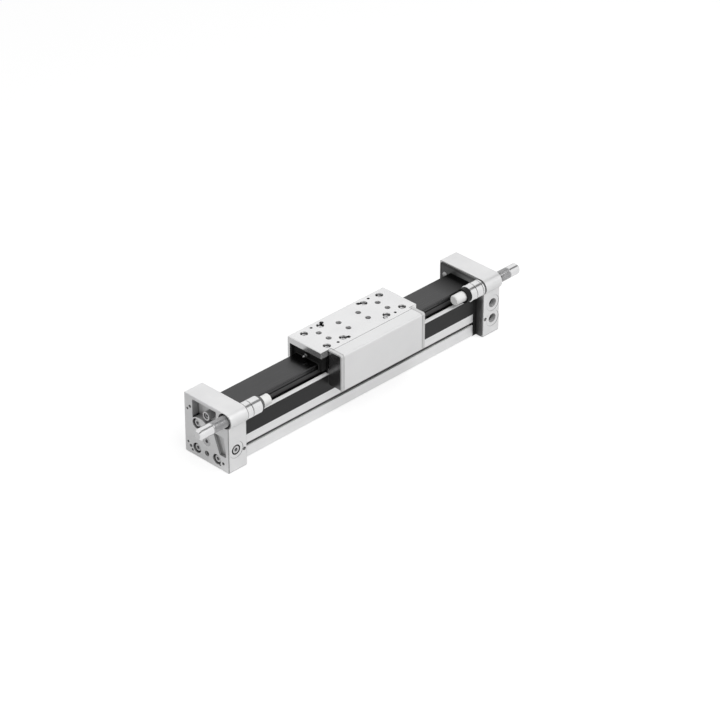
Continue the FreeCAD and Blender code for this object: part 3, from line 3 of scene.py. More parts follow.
import bpy
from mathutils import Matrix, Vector


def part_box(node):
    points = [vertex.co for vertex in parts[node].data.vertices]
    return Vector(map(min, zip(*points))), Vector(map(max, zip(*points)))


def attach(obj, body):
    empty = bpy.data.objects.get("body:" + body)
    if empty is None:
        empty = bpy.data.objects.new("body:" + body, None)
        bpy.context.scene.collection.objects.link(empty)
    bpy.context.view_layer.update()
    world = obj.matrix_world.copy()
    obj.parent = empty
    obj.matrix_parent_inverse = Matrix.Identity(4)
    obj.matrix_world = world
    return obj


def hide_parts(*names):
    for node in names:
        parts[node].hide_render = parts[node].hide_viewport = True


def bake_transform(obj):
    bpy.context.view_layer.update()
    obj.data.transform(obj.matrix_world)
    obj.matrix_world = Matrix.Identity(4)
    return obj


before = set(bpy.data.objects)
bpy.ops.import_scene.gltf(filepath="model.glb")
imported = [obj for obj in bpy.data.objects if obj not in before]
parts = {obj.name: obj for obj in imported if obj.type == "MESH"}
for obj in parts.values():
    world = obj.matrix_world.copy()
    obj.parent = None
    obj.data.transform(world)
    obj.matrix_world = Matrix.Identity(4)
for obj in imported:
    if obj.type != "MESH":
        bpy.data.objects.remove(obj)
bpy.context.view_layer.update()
ends = ("near", "far")
mm = 0.001
print("frame loaded:", len(parts), "parts")

scene = bpy.context.scene
scene.view_settings.view_transform = "Standard"


# camera

cameraSet = {
    "place": (-1.7344, -1.74155, 1.5536),  # metres
    "turn": (58.205, 0.0, -45.075),  # degrees
    "lens": 170.0,
    "sensor": 36.0,
    "reach": 50.0,  # metres
}


def putCamera(opts):
    data = bpy.data.cameras.new("photoCamera")
    data.lens = opts["lens"]
    data.sensor_width = opts["sensor"]
    data.clip_end = opts["reach"]
    camera = bpy.data.objects.new("photoCamera", data)
    camera.location = opts["place"]
    camera.rotation_euler = [math.radians(a) for a in opts["turn"]]
    scene.collection.objects.link(camera)
    scene.camera = camera


putCamera(cameraSet)
print("camera placed")


# small helpers for shader trees


def addNode(tree, kind, **settings):
    node = tree.nodes.new(kind)
    for key, value in settings.items():
        if key in node.inputs:
            node.inputs[key].default_value = value
        else:
            setattr(node, key, value)
    return node


def join(tree, source, socket):
    tree.links.new(source, socket)


def axesOf(tree, vector):
    split = addNode(tree, "ShaderNodeSeparateXYZ")
    join(tree, vector, split.inputs[0])
    return split.outputs


def plug(tree, value, socket):
    if hasattr(value, "is_output"):
        tree.links.new(value, socket)
    else:
        socket.default_value = value


def mathNode(tree, operation, first, second=0.0):
    node = addNode(tree, "ShaderNodeMath", operation=operation)
    plug(tree, first, node.inputs[0])
    plug(tree, second, node.inputs[1])
    return node.outputs[0]


def remap(tree, value, fromLow, fromHigh, toLow, toHigh):
    node = addNode(tree, "ShaderNodeMapRange")
    plug(tree, value, node.inputs["Value"])
    numbers = {"From Min": fromLow, "From Max": fromHigh, "To Min": toLow, "To Max": toHigh}
    for key, number in numbers.items():
        node.inputs[key].default_value = number
    return node.outputs["Result"]


def mixTone(tree, factor, first, second):
    node = addNode(tree, "ShaderNodeMix", data_type="RGBA")
    plug(tree, factor, node.inputs[0])
    for socket, tone in ((node.inputs[6], first), (node.inputs[7], second)):
        plug(tree, tone if hasattr(tone, "is_output") else tuple(tone) + (1.0,), socket)
    return node.outputs[2]


# studio: pale floor, soft key from above right, white room with one dark gap between the soft lights

studio = {
    "room": 0.5,  # light of the room on dull surfaces
    "floorGrey": 0.45,
    "floorGlow": 0.68,  # lifts the floor to white for the camera
    "mirrorGlow": (0.24, 0.54),  # the same for mirrors, behind the drive and on the viewer's side
    "mirrorEdge": (0.01, -0.012),  # metres across the drive between the two
    "floorSize": 30.0,
    "floorDrop": 0.05,  # mm under the caps' feet
    "keyAim": (-0.08, -0.52, 0.85),
    "keyAway": 1.7,
    "keySize": 1.5,
    "keyPower": 15.8,
    "gap": (-4.0, 2.0, 26.0, 34.0),  # degrees from straight up towards the viewer's side
    "gapSpan": (-90.0, 90.0),
    "gapGrey": 0.22,
}


def lookRays(tree):
    path = tree.nodes.new("ShaderNodeLightPath")
    mirrored = mathNode(tree, "MAXIMUM", path.outputs["Is Glossy Ray"], path.outputs["Is Transmission Ray"])
    return path.outputs["Is Camera Ray"], mirrored


def makeRoom(opts):
    world = bpy.data.worlds.new("studioRoom")
    world.use_nodes = True
    scene.world = world
    tree = world.node_tree
    tree.nodes.clear()
    camera, mirrored = lookRays(tree)
    way = axesOf(tree, addNode(tree, "ShaderNodeTexCoord").outputs["Generated"])
    lean = mathNode(tree, "ARCTAN2", mathNode(tree, "MULTIPLY", way["Y"], -1.0), way["Z"])
    ramp = addNode(tree, "ShaderNodeValToRGB")
    first, last = opts["gapSpan"]
    stops = [(a - first) / (last - first) for a in opts["gap"]]
    join(tree, remap(tree, lean, math.radians(first), math.radians(last), 0.0, 1.0), ramp.inputs[0])
    dark = (opts["gapGrey"],) * 3 + (1.0,)
    ramp.color_ramp.elements[0].position = stops[0]
    ramp.color_ramp.elements[0].color = (1, 1, 1, 1)
    ramp.color_ramp.elements[1].position = stops[3]
    ramp.color_ramp.elements[1].color = (1, 1, 1, 1)
    for stop in stops[1:3]:
        ramp.color_ramp.elements.new(stop).color = dark
    lights = addNode(tree, "ShaderNodeBackground", Strength=1.0)
    join(tree, ramp.outputs["Color"], lights.inputs["Color"])
    white = addNode(tree, "ShaderNodeBackground", Strength=1.0)
    soft = addNode(tree, "ShaderNodeBackground", Strength=opts["room"])
    for node in (white, soft):
        node.inputs["Color"].default_value = (1, 1, 1, 1)
    inMirrors = addNode(tree, "ShaderNodeMixShader")
    join(tree, mirrored, inMirrors.inputs[0])
    join(tree, soft.outputs[0], inMirrors.inputs[1])
    join(tree, lights.outputs[0], inMirrors.inputs[2])
    forCamera = addNode(tree, "ShaderNodeMixShader")
    join(tree, camera, forCamera.inputs[0])
    join(tree, inMirrors.outputs[0], forCamera.inputs[1])
    join(tree, white.outputs[0], forCamera.inputs[2])
    out = addNode(tree, "ShaderNodeOutputWorld")
    join(tree, forCamera.outputs[0], out.inputs["Surface"])


def makeFloor(opts):
    half = opts["floorSize"] / 2
    mesh = bpy.data.meshes.new("studioFloor")
    corners = [(-half, -half, 0), (half, -half, 0), (half, half, 0), (-half, half, 0)]
    mesh.from_pydata(corners, [], [(0, 1, 2, 3)])
    floor = bpy.data.objects.new("studioFloor", mesh)
    floor.location.z = -opts["floorDrop"] * mm
    scene.collection.objects.link(floor)
    paint = bpy.data.materials.new("paleFloor")
    paint.use_nodes = True
    tree = paint.node_tree
    tree.nodes.clear()
    camera, mirrored = lookRays(tree)
    place = axesOf(tree, addNode(tree, "ShaderNodeTexCoord").outputs["Object"])
    graded = remap(tree, place["Y"], *opts["mirrorEdge"], *opts["mirrorGlow"])
    strength = mathNode(tree, "ADD", mathNode(tree, "MULTIPLY", camera, opts["floorGlow"]),
                        mathNode(tree, "MULTIPLY", mirrored, graded))
    matt = addNode(tree, "ShaderNodeBsdfDiffuse")
    matt.inputs["Color"].default_value = (opts["floorGrey"],) * 3 + (1.0,)
    glow = addNode(tree, "ShaderNodeEmission")
    join(tree, strength, glow.inputs["Strength"])
    total = addNode(tree, "ShaderNodeAddShader")
    join(tree, matt.outputs[0], total.inputs[0])
    join(tree, glow.outputs[0], total.inputs[1])
    out = addNode(tree, "ShaderNodeOutputMaterial")
    join(tree, total.outputs[0], out.inputs["Surface"])
    mesh.materials.append(paint)


def hangLamp(name, aim, away, size, power):
    data = bpy.data.lights.new(name, "AREA")
    data.shape = "SQUARE"
    data.size = size
    data.energy = power
    lamp = bpy.data.objects.new(name, data)
    lamp.location = Vector(aim).normalized() * away
    lamp.rotation_euler = Vector(aim).to_track_quat("Z", "Y").to_euler()
    scene.collection.objects.link(lamp)


makeRoom(studio)
makeFloor(studio)
hangLamp("softKey", studio["keyAim"], studio["keyAway"], studio["keySize"], studio["keyPower"])
print("studio lit")


# finishes
# tone and stain: the two greys that drift over the surface, cloud: size of the drift (per metre)
# grain: scale of the fine marks along X, Y and Z (per metre)
# rough: roughness between the marks and on them, bump: strength and depth (mm) of the marks
# edge: rounding seen on edges (mm), then the tone of edge wear and its amount; on the carriage plate that
# tone is dark, a painted shade
# hollow: painted shade, share of the tone left in holes and tight corners, reach (mm), openness where it
# starts and ends
# ownHollow: counts only its own shape, pocket: the same painted shade as hollow for its own deeper pockets
# hollowFloor, pocketFloor: how much of the two goes on faces across the stroke
# sideHollow: how much of the hollow goes on upright side faces, sideEdge: tone of the painted shade on the
# upright edges
# milledTop, topTone: how metallic its upward faces look, and their tone, lightened as painted light
# rim: painted shade, dark from the edge to the first width, gone at the second (mm)
# toBack, below: painted shade, from and to (mm across the drive, mm up), share of the tone left there
# darkEnd: painted reflection of the far cover plate, from and to (mm along the stroke), share of the tone
# left at the far end

finishLooks = {
    "satinProfile": {  # drawn aluminium, anodised: die lines along the stroke
        "tone": (0.83, 0.83, 0.835), "stain": (0.79, 0.79, 0.795), "cloud": 28.0,
        "grain": (14.0, 3200.0, 3200.0), "rough": (0.3, 0.44), "bump": (0.12, 0.01),
        "edge": 0.25, "wornAndShadedEdge": ((0.9, 0.9, 0.9), 0.3), "metallic": 0.75,
        "hollow": (0.03, 5.0, 0.38, 0.72), "ownHollow": True,
        # topTone lightens the upward faces as painted light
        "milledTop": 0.0, "topTone": (0.98, 0.98, 0.98),
    },
    "blastedCap": {  # cast caps, blasted and anodised
        "tone": (0.84, 0.84, 0.842), "stain": (0.78, 0.78, 0.785), "cloud": 40.0,
        "grain": (2100.0, 2100.0, 2100.0), "rough": (0.34, 0.46), "bump": (0.16, 0.015),
        "edge": 0.35, "wornAndShadedEdge": ((0.86, 0.86, 0.86), 0.15), "metallic": 0.55,
        "hollow": (0.03, 2.6, 0.34, 0.68), "hollowFloor": 0.78,
        "pocket": (0.45, 30.0, 0.48, 0.78), "pocketFloor": 0.1, "sideEdge": (0.16, 0.16, 0.16),
    },
    "milledTable": {  # carriage plate; the dark tone of its edges is painted shade
        "tone": (0.84, 0.84, 0.842), "stain": (0.79, 0.79, 0.795), "cloud": 36.0,
        "grain": (120.0, 2600.0, 2600.0), "rough": (0.16, 0.24), "bump": (0.1, 0.01),
        "edge": 0.5, "wornAndShadedEdge": ((0.2, 0.2, 0.2), 0.85), "metallic": 0.96,
        "hollow": (0.03, 3.0, 0.52, 0.88),
    },
    "satinCover": {
        "tone": (0.85, 0.85, 0.853), "stain": (0.815, 0.815, 0.82), "cloud": 22.0,
        "grain": (30.0, 2400.0, 2400.0), "rough": (0.34, 0.44), "bump": (0.08, 0.008),
        "edge": 0.3, "wornAndShadedEdge": ((0.9, 0.9, 0.9), 0.1), "metallic": 0.3,
        "hollow": (0.75, 1.5, 0.25, 0.6),
    },
    "darkRail": {  # blackened steel, ground along the stroke
        "tone": (0.077, 0.077, 0.078), "stain": (0.069, 0.069, 0.07), "cloud": 30.0,
        "grain": (8.0, 4200.0, 4200.0), "rough": (0.2, 0.28), "bump": (0.06, 0.006),
        "edge": 0.2, "wornAndShadedEdge": ((0.16, 0.16, 0.16), 0.4), "metallic": 1.0,
        # darkEnd is a painted reflection of the far cover plate on the rail
        "hollow": (0.35, 6.0, 0.4, 0.92), "sideHollow": 0.25, "darkEnd": (110.0, 131.0, 0.06),
    },
    "mattStrip": {  # black plastic cover strip
        "tone": (0.007, 0.007, 0.0075), "stain": (0.005, 0.005, 0.0055), "cloud": 45.0,
        "grain": (900.0, 1800.0, 1800.0), "rough": (0.38, 0.5), "bump": (0.12, 0.01),
        "edge": 0.2, "wornAndShadedEdge": ((0.025, 0.025, 0.025), 0.4), "metallic": 0.0,
        "hollow": (0.2, 1.5, 0.3, 0.8), "sockets": {"Specular IOR Level": 0.35},
    },
    "capPlate": {  # dark grey plates on the caps' inner faces
        "tone": (0.36, 0.36, 0.361), "stain": (0.32, 0.32, 0.321), "cloud": 60.0,
        "grain": (1900.0, 1900.0, 1900.0), "rough": (0.3, 0.42), "bump": (0.1, 0.01),
        "edge": 0.2, "wornAndShadedEdge": ((0.1, 0.1, 0.1), 0.3), "metallic": 0.0,
        "hollow": (0.5, 4.0, 0.3, 0.8),
        # rim, toBack and below are painted shade
        "rim": (1.2, 4.5), "toBack": (-5.0, 12.0, 0.22), "below": (44.0, 37.0, 0.2),
    },
    "glossPanel": {  # moulded end panels of the carriage
        "tone": (0.18, 0.18, 0.181), "stain": (0.16, 0.16, 0.161), "cloud": 90.0,
        "grain": (260.0, 260.0, 260.0), "rough": (0.2, 0.28), "bump": (0.02, 0.01),
        "edge": 0.25, "wornAndShadedEdge": ((0.2, 0.2, 0.2), 0.3), "metallic": 0.9,
        "hollow": (0.3, 1.2, 0.3, 0.85),
    },
    "sealRubber": {
        "tone": (0.018, 0.018, 0.018), "stain": (0.013, 0.013, 0.013), "cloud": 120.0,
        "grain": (2800.0, 2800.0, 2800.0), "rough": (0.5, 0.66), "bump": (0.2, 0.015),
        "edge": 0.2, "wornAndShadedEdge": ((0.02, 0.02, 0.02), 0.3), "metallic": 0.0,
        "hollow": (0.25, 2.5, 0.3, 0.85), "sockets": {"Specular IOR Level": 0.16},
    },
    "greyRubber": {  # elastic ring of the near shock absorber
        "tone": (0.12, 0.12, 0.12), "stain": (0.09, 0.09, 0.09), "cloud": 150.0,
        "grain": (2800.0, 2800.0, 2800.0), "rough": (0.45, 0.6), "bump": (0.2, 0.015),
        "edge": 0.2, "wornAndShadedEdge": ((0.16, 0.16, 0.16), 0.3), "metallic": 0.0,
        "hollow": (0.25, 1.5, 0.3, 0.85),
    },
    "turnedChrome": {  # polished steel with fine turning rings about the stroke's axis
        "tone": (0.8, 0.8, 0.805), "stain": (0.75, 0.75, 0.755), "cloud": 70.0,
        "grain": (5200.0, 60.0, 60.0), "rough": (0.13, 0.24), "bump": (0.05, 0.006),
        "edge": 0.15, "wornAndShadedEdge": ((0.92, 0.92, 0.92), 0.3), "metallic": 1.0,
        "hollow": (0.03, 1.6, 0.45, 0.9),
    },
    "threadedSteel": {
        "tone": (0.47, 0.47, 0.475), "stain": (0.39, 0.39, 0.395), "cloud": 160.0,
        "grain": (2500.0, 400.0, 400.0), "rough": (0.24, 0.36), "bump": (0.06, 0.008),
        "edge": 0.06, "wornAndShadedEdge": ((0.6, 0.6, 0.6), 0.4), "metallic": 1.0,
        "hollow": (0.2, 4.0, 0.42, 0.82),
    },
    "cutThread": {  # threads in the tapped holes
        "tone": (0.4, 0.4, 0.402), "stain": (0.34, 0.34, 0.342), "cloud": 200.0,
        "grain": (1800.0, 1800.0, 1800.0), "rough": (0.28, 0.4), "bump": (0.06, 0.008),
        "edge": 0.06, "wornAndShadedEdge": ((0.5, 0.5, 0.5), 0.3), "metallic": 0.5,
        "hollow": (0.02, 6.0, 0.2, 0.55),
    },
    "tableThread": {  # threads in the carriage plate, lit from above, so with less painted shade in their holes
        "tone": (0.36, 0.36, 0.362), "stain": (0.3, 0.3, 0.302), "cloud": 200.0,
        "grain": (1800.0, 1800.0, 1800.0), "rough": (0.34, 0.46), "bump": (0.06, 0.008),
        "edge": 0.06, "wornAndShadedEdge": ((0.45, 0.45, 0.45), 0.3), "metallic": 0.4,
        "hollow": (0.35, 4.0, 0.1, 0.4),
    },
    "bufferPlastic": {  # white moulded buffers
        "tone": (0.95, 0.95, 0.945), "stain": (0.88, 0.88, 0.87), "cloud": 110.0,
        "grain": (1500.0, 1500.0, 1500.0), "rough": (0.34, 0.46), "bump": (0.06, 0.01),
        "edge": 0.3, "wornAndShadedEdge": ((0.78, 0.78, 0.77), 0.35), "metallic": 0.0,
        "hollow": (0.4, 1.2, 0.3, 0.85),
    },
    "castFrame": {  # end frames of the side cover
        "tone": (0.68, 0.68, 0.682), "stain": (0.64, 0.64, 0.642), "cloud": 50.0,
        "grain": (1800.0, 1800.0, 1800.0), "rough": (0.34, 0.46), "bump": (0.12, 0.01),
        "edge": 0.25, "wornAndShadedEdge": ((0.8, 0.8, 0.8), 0.15), "metallic": 0.3,
        "hollow": (0.75, 1.5, 0.25, 0.6),
    },
    "tableScrew": {  # bright heads sunk in the carriage plate
        "tone": (0.82, 0.82, 0.823), "stain": (0.74, 0.74, 0.743), "cloud": 300.0,
        "grain": (2600.0, 2600.0, 2600.0), "rough": (0.26, 0.38), "bump": (0.08, 0.008),
        "edge": 0.12, "wornAndShadedEdge": ((0.88, 0.88, 0.88), 0.3), "metallic": 0.6,
        "hollow": (0.03, 1.2, 0.15, 0.5),
    },
    "zincScrew": {
        "tone": (0.66, 0.66, 0.665), "stain": (0.55, 0.55, 0.555), "cloud": 260.0,
        "grain": (2600.0, 2600.0, 2600.0), "rough": (0.24, 0.38), "bump": (0.08, 0.008),
        "edge": 0.15, "wornAndShadedEdge": ((0.85, 0.85, 0.85), 0.5), "metallic": 0.85,
        "hollow": (0.04, 1.4, 0.3, 0.8),
    },
    # grease nipples, their tone darkened as painted shade
    "dullNippleInPaintedShade": {
        "tone": (0.3, 0.3, 0.302), "stain": (0.2, 0.2, 0.202), "cloud": 400.0,
        "grain": (2600.0, 2600.0, 2600.0), "rough": (0.34, 0.46), "bump": (0.08, 0.008),
        "edge": 0.1, "wornAndShadedEdge": ((0.5, 0.5, 0.5), 0.4), "metallic": 0.8,
        "hollow": (0.05, 5.0, 0.5, 0.92),
    },
    "paleDome": {  # plain domed heads of the plate screws
        "tone": (0.5, 0.5, 0.502), "stain": (0.44, 0.44, 0.442), "cloud": 260.0,
        "grain": (2400.0, 2400.0, 2400.0), "rough": (0.55, 0.68), "bump": (0.1, 0.008),
        "edge": 0.15, "wornAndShadedEdge": ((0.6, 0.6, 0.6), 0.4), "metallic": 0.1,
        "hollow": (0.2, 1.0, 0.3, 0.8),
    },
    "plainSteel": {  # balls, sealing band, inner pieces
        "tone": (0.56, 0.56, 0.57), "stain": (0.46, 0.46, 0.47), "cloud": 120.0,
        "grain": (900.0, 900.0, 900.0), "rough": (0.16, 0.3), "bump": (0.05, 0.006),
        "edge": 0.1, "wornAndShadedEdge": ((0.75, 0.75, 0.75), 0.4), "metallic": 1.0,
        "hollow": (0.3, 1.0, 0.3, 0.85),
    },
    "pistonPolymer": {
        "tone": (0.05, 0.05, 0.052), "stain": (0.035, 0.035, 0.037), "cloud": 140.0,
        "grain": (1700.0, 1700.0, 1700.0), "rough": (0.4, 0.52), "bump": (0.1, 0.01),
        "edge": 0.2, "wornAndShadedEdge": ((0.1, 0.1, 0.1), 0.4), "metallic": 0.0,
        "hollow": (0.3, 2.0, 0.3, 0.85),
    },
}


# limits between which the marks, edges and hollows of every finish come and go
shading = {
    "cloudNoise": {"Detail": 4.0, "Roughness": 0.6},
    "grainNoise": {"Detail": 3.0, "Roughness": 0.55},
    "drift": (0.35, 0.68),  # cloud from tone to stain
    "marks": (0.3, 0.7),  # grain from smooth to coarse
    "patches": (0.3, 0.6),  # cloud from little to full wear
    "leastWear": 0.35,
    "turn": (0.985, 0.86),  # cosine between the rounded and the flat normal, on an edge
    "upward": (0.5, 0.9),  # Z of the normal
    "across": (0.3, 0.95),  # X or Y of the normal
    "upright": (0.12, 0.4, 0.9),  # X times Y of the rounded normal, and the most of the upright edges' painted shade
    "rim": (0.95, 0.6),  # darkness of the rim's painted shade, and its share at the viewer's side
    "hollowSamples": 6,
    "edgeSamples": 4,
}


def openness(tree, opts, ownOnly):
    left, reach, low, high = opts
    shade = addNode(tree, "ShaderNodeAmbientOcclusion", samples=shading["hollowSamples"],
                    only_local=ownOnly, Distance=reach * mm)
    return remap(tree, shade.outputs["AO"], low, high, left, 1.0)


def eased(tree, share, side, weight):
    amount = remap(tree, mathNode(tree, "ABSOLUTE", side), *shading["across"], 1.0, weight)
    taken = mathNode(tree, "MULTIPLY", amount, mathNode(tree, "SUBTRACT", 1.0, share))
    return mathNode(tree, "SUBTRACT", 1.0, taken)


# painted shade on the cover plates: of the gasket's lip along the rim, and of the drive in front of them
# towards the back and the bottom
def plateShade(tree, look, spot):
    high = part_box("far_cover_plate")[1]
    place = axesOf(tree, spot)
    inset = mathNode(tree, "MINIMUM", mathNode(tree, "SUBTRACT", high.z, place["Z"]),
                     mathNode(tree, "SUBTRACT", high.y, place["Y"]))
    first, last = look["rim"]
    most, atFront = shading["rim"]
    rim = remap(tree, inset, first * mm, last * mm, most, 0.0)
    start, stop, left = look["toBack"]
    back = remap(tree, place["Y"], start * mm, stop * mm, 0.0, 1.0)
    dark = mathNode(tree, "MULTIPLY", rim, remap(tree, back, 0.0, 1.0, atFront, 1.0))
    dark = mathNode(tree, "MAXIMUM", dark, mathNode(tree, "MULTIPLY", back, 1.0 - left))
    start, stop, left = look["below"]
    low = remap(tree, place["Z"], start * mm, stop * mm, 0.0, 1.0 - left)
    return mathNode(tree, "MAXIMUM", dark, low)


# painted shade: holes, corners and pockets are darkened in the colour by how closed in they are
def paintedShadeShare(tree, look, spot, flat):
    share = openness(tree, look["hollow"], look.get("ownHollow", False))
    if "pocket" in look:
        pocket = openness(tree, look["pocket"], True)
        endOn = axesOf(tree, flat)["X"]
        share = mathNode(tree, "MULTIPLY", eased(tree, share, endOn, look["hollowFloor"]),
                         eased(tree, pocket, endOn, look["pocketFloor"]))
    if "sideHollow" in look:
        share = eased(tree, share, axesOf(tree, flat)["Y"], look["sideHollow"])
    # painted reflection: the rail darkens towards the far cover plate
    if "darkEnd" in look:
        first, last, left = look["darkEnd"]
        fade = remap(tree, axesOf(tree, spot)["X"], first * mm, last * mm, 1.0, left)
        share = mathNode(tree, "MULTIPLY", share, fade)
    return share


def makeFinish(name, look):
    finish = bpy.data.materials.new(name)
    finish.use_nodes = True
    tree = finish.node_tree
    shader = tree.nodes["Principled BSDF"]
    shader.inputs["Metallic"].default_value = look["metallic"]
    for key, value in look.get("sockets", {}).items():
        shader.inputs[key].default_value = value
    spot = addNode(tree, "ShaderNodeTexCoord").outputs["Object"]
    flat = addNode(tree, "ShaderNodeNewGeometry").outputs["True Normal"]

    # slow drift between the two tones
    cloud = addNode(tree, "ShaderNodeTexNoise", Scale=look["cloud"], **shading["cloudNoise"])
    join(tree, spot, cloud.inputs["Vector"])
    drift = remap(tree, cloud.outputs["Fac"], *shading["drift"], 0.0, 1.0)
    tone = mixTone(tree, drift, look["tone"], look["stain"])

    # fine marks
    stretch = addNode(tree, "ShaderNodeMapping")
    stretch.inputs["Scale"].default_value = look["grain"]
    join(tree, spot, stretch.inputs["Vector"])
    grain = addNode(tree, "ShaderNodeTexNoise", Scale=1.0, **shading["grainNoise"])
    join(tree, stretch.outputs[0], grain.inputs["Vector"])
    marks = grain.outputs["Fac"]

    # upward faces: their own metallic, and a tone lightened as painted light; painted shade on the cover
    # plates and the upright edges
    rounded = addNode(tree, "ShaderNodeBevel", samples=shading["edgeSamples"], Radius=look["edge"] * mm)
    if "milledTop" in look:
        up = axesOf(tree, flat)["Z"]
        metal = remap(tree, up, *shading["upward"], look["metallic"], look["milledTop"])
        join(tree, metal, shader.inputs["Metallic"])
        tone = mixTone(tree, remap(tree, up, *shading["upward"], 0.0, 1.0), tone, look["topTone"])
    if "rim" in look:
        tone = mixTone(tree, plateShade(tree, look, spot), tone, (0.0, 0.0, 0.0))
    # painted shade on the upright edges
    if "sideEdge" in look:
        tilt = axesOf(tree, rounded.outputs[0])
        corner = mathNode(tree, "ABSOLUTE", mathNode(tree, "MULTIPLY", tilt["X"], tilt["Y"]))
        low, high, most = shading["upright"]
        tone = mixTone(tree, remap(tree, corner, low, high, 0.0, most), tone, look["sideEdge"])

    # edges: rounded to the light, and show wear where they stand free; on the carriage plate the edge tone
    # is a painted shade
    turned = addNode(tree, "ShaderNodeVectorMath", operation="DOT_PRODUCT")
    join(tree, rounded.outputs[0], turned.inputs[0])
    join(tree, flat, turned.inputs[1])
    onEdge = remap(tree, turned.outputs["Value"], *shading["turn"], 0.0, 1.0)
    wornAndShadedTone, wornAndShadedAmount = look["wornAndShadedEdge"]
    patchy = remap(tree, cloud.outputs["Fac"], *shading["patches"],
                   shading["leastWear"] * wornAndShadedAmount, wornAndShadedAmount)
    share = paintedShadeShare(tree, look, spot, flat)
    wornAndShadedEdges = mathNode(tree, "MULTIPLY", mathNode(tree, "MULTIPLY", onEdge, patchy), share)
    tone = mixTone(tree, wornAndShadedEdges, tone, wornAndShadedTone)
    # the painted shade darkens the base colour
    dimmed = addNode(tree, "ShaderNodeVectorMath", operation="SCALE")
    join(tree, tone, dimmed.inputs[0])
    join(tree, share, dimmed.inputs["Scale"])
    join(tree, dimmed.outputs[0], shader.inputs["Base Color"])

    smooth, coarse = look["rough"]
    join(tree, remap(tree, marks, *shading["marks"], smooth, coarse), shader.inputs["Roughness"])
    strength, depth = look["bump"]
    bump = addNode(tree, "ShaderNodeBump", Strength=strength, Distance=depth * mm)
    join(tree, marks, bump.inputs["Height"])
    join(tree, rounded.outputs[0], bump.inputs["Normal"])
    join(tree, bump.outputs[0], shader.inputs["Normal"])
    return finish


finishes = {name: makeFinish(name, look) for name, look in finishLooks.items()}


def both(*names):
    return [f"{end}_{name}" for end in ends for name in names]


wearing = {
    "satinProfile": ["cylinder_profile"],
    "blastedCap": both("end_cap"),
    "milledTable": ["carriage_plate"],
    "castFrame": both("end_frame"),
    "tableScrew": ["carriage_screws"],
    "satinCover": ["side_cover"],
    "darkRail": ["guide_rail"] + both("runner"),
    "mattStrip": ["side_cover_strip"] + both("stop_block"),
    "capPlate": both("cover_plate"),
    "glossPanel": both("end_panel"),
    "sealRubber": both("gasket", "wiper", "plug_seal", "piston_seal") + ["far_bumper_ring"],
    "greyRubber": ["near_bumper_ring"],
    "turnedChrome": both("damper_body", "damper_rod", "lock_ring", "stop_sleeve") + ["far_spacer_ring"],
    "bufferPlastic": both("buffer"),
    "zincScrew": ["cap_screws", "rail_end_screws", "stop_block_screws", "driver_screws",
                  "driver_foot_screws", "piston_head_screws", "port_plugs"],
    "dullNippleInPaintedShade": ["lube_nipples"],
    "paleDome": ["cover_plate_screws"],
    "plainSteel": ["guide_balls", "inner_sealing_band", "piston_magnets", "driver", "piston_yoke"]
                  + both("bore_plug"),
    "pistonPolymer": both("piston_head"),
}
bare = set(parts)
for finishName, names in wearing.items():
    for name in names:
        mesh = parts[name].data
        mesh.materials.clear()
        mesh.materials.append(finishes[finishName])
        bare.discard(name)
print("finishes given, parts without one:", sorted(bare))


# pieces with more detail than the CAD solids


def newPiece(name, verts, faces, finish):
    mesh = bpy.data.meshes.new(name)
    mesh.from_pydata(verts, [], faces)
    mesh.validate()
    mesh.materials.append(finish)
    piece = bpy.data.objects.new(name, mesh)
    scene.collection.objects.link(piece)
    return piece


def addPiece(name, verts, faces, finish, body):
    piece = newPiece(name, verts, faces, finish)
    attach(piece, body)
    return piece


def shadeSmooth(piece, degrees):
    piece.data.polygons.foreach_set("use_smooth", [True] * len(piece.data.polygons))
    piece.data.set_sharp_from_angle(angle=math.radians(degrees))


capSet = {
    "halfWidth": 26.5,  # mm, without the lug
    "boreHeight": 20.4,
    "sidePort": 8.5,  # from the outer face to the ports in the side
    "spotFace": 0.3,  # depth of the spot faces round them
}

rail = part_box("guide_rail")
axisY = (rail[0].y + rail[1].y) / 2  # plane of the bore and the rail
sideFace = axisY - capSet["halfWidth"] * mm  # viewer's side of the caps
portFloor = sideFace + capSet["spotFace"] * mm


# shock absorber bodies: smooth end, then a fine thread down into the cap

damperSet = {
    "around": 72,
    "smooth": 35.0,  # degrees between faces that shade as one
    "radius": 5.1,  # mm
    "edge": 1.8,
    "pitch": 1.0,
    "depth": 0.42,
    "stepsPerTurn": 8,
    "flank": (0.12, 0.82),  # from the root to the crest, as shares of half a turn
    "runIn": 0.4,  # plain length before the thread
    "smoothEnd": {"near": 14.6, "far": 12.6},
    "inCap": 4.0,  # how far the thread goes on inside the cap
    "backWall": 4.0,
    "frontWall": 3.0,
    "bore": 3.6,
    "rodHole": 2.58,
    "threadFloor": 4.0,  # radius that every thread face lies outside of
    "threadLead": 0.3,  # the thread's finish starts this far before it
}


def threadShape(turn, flank):
    root, crest = flank
    peak = abs(turn % 1.0 - 0.5) * 2.0  # 1 on the crest, 0 in the root
    return min(1.0, max(0.0, (peak - root) / (crest - root)))


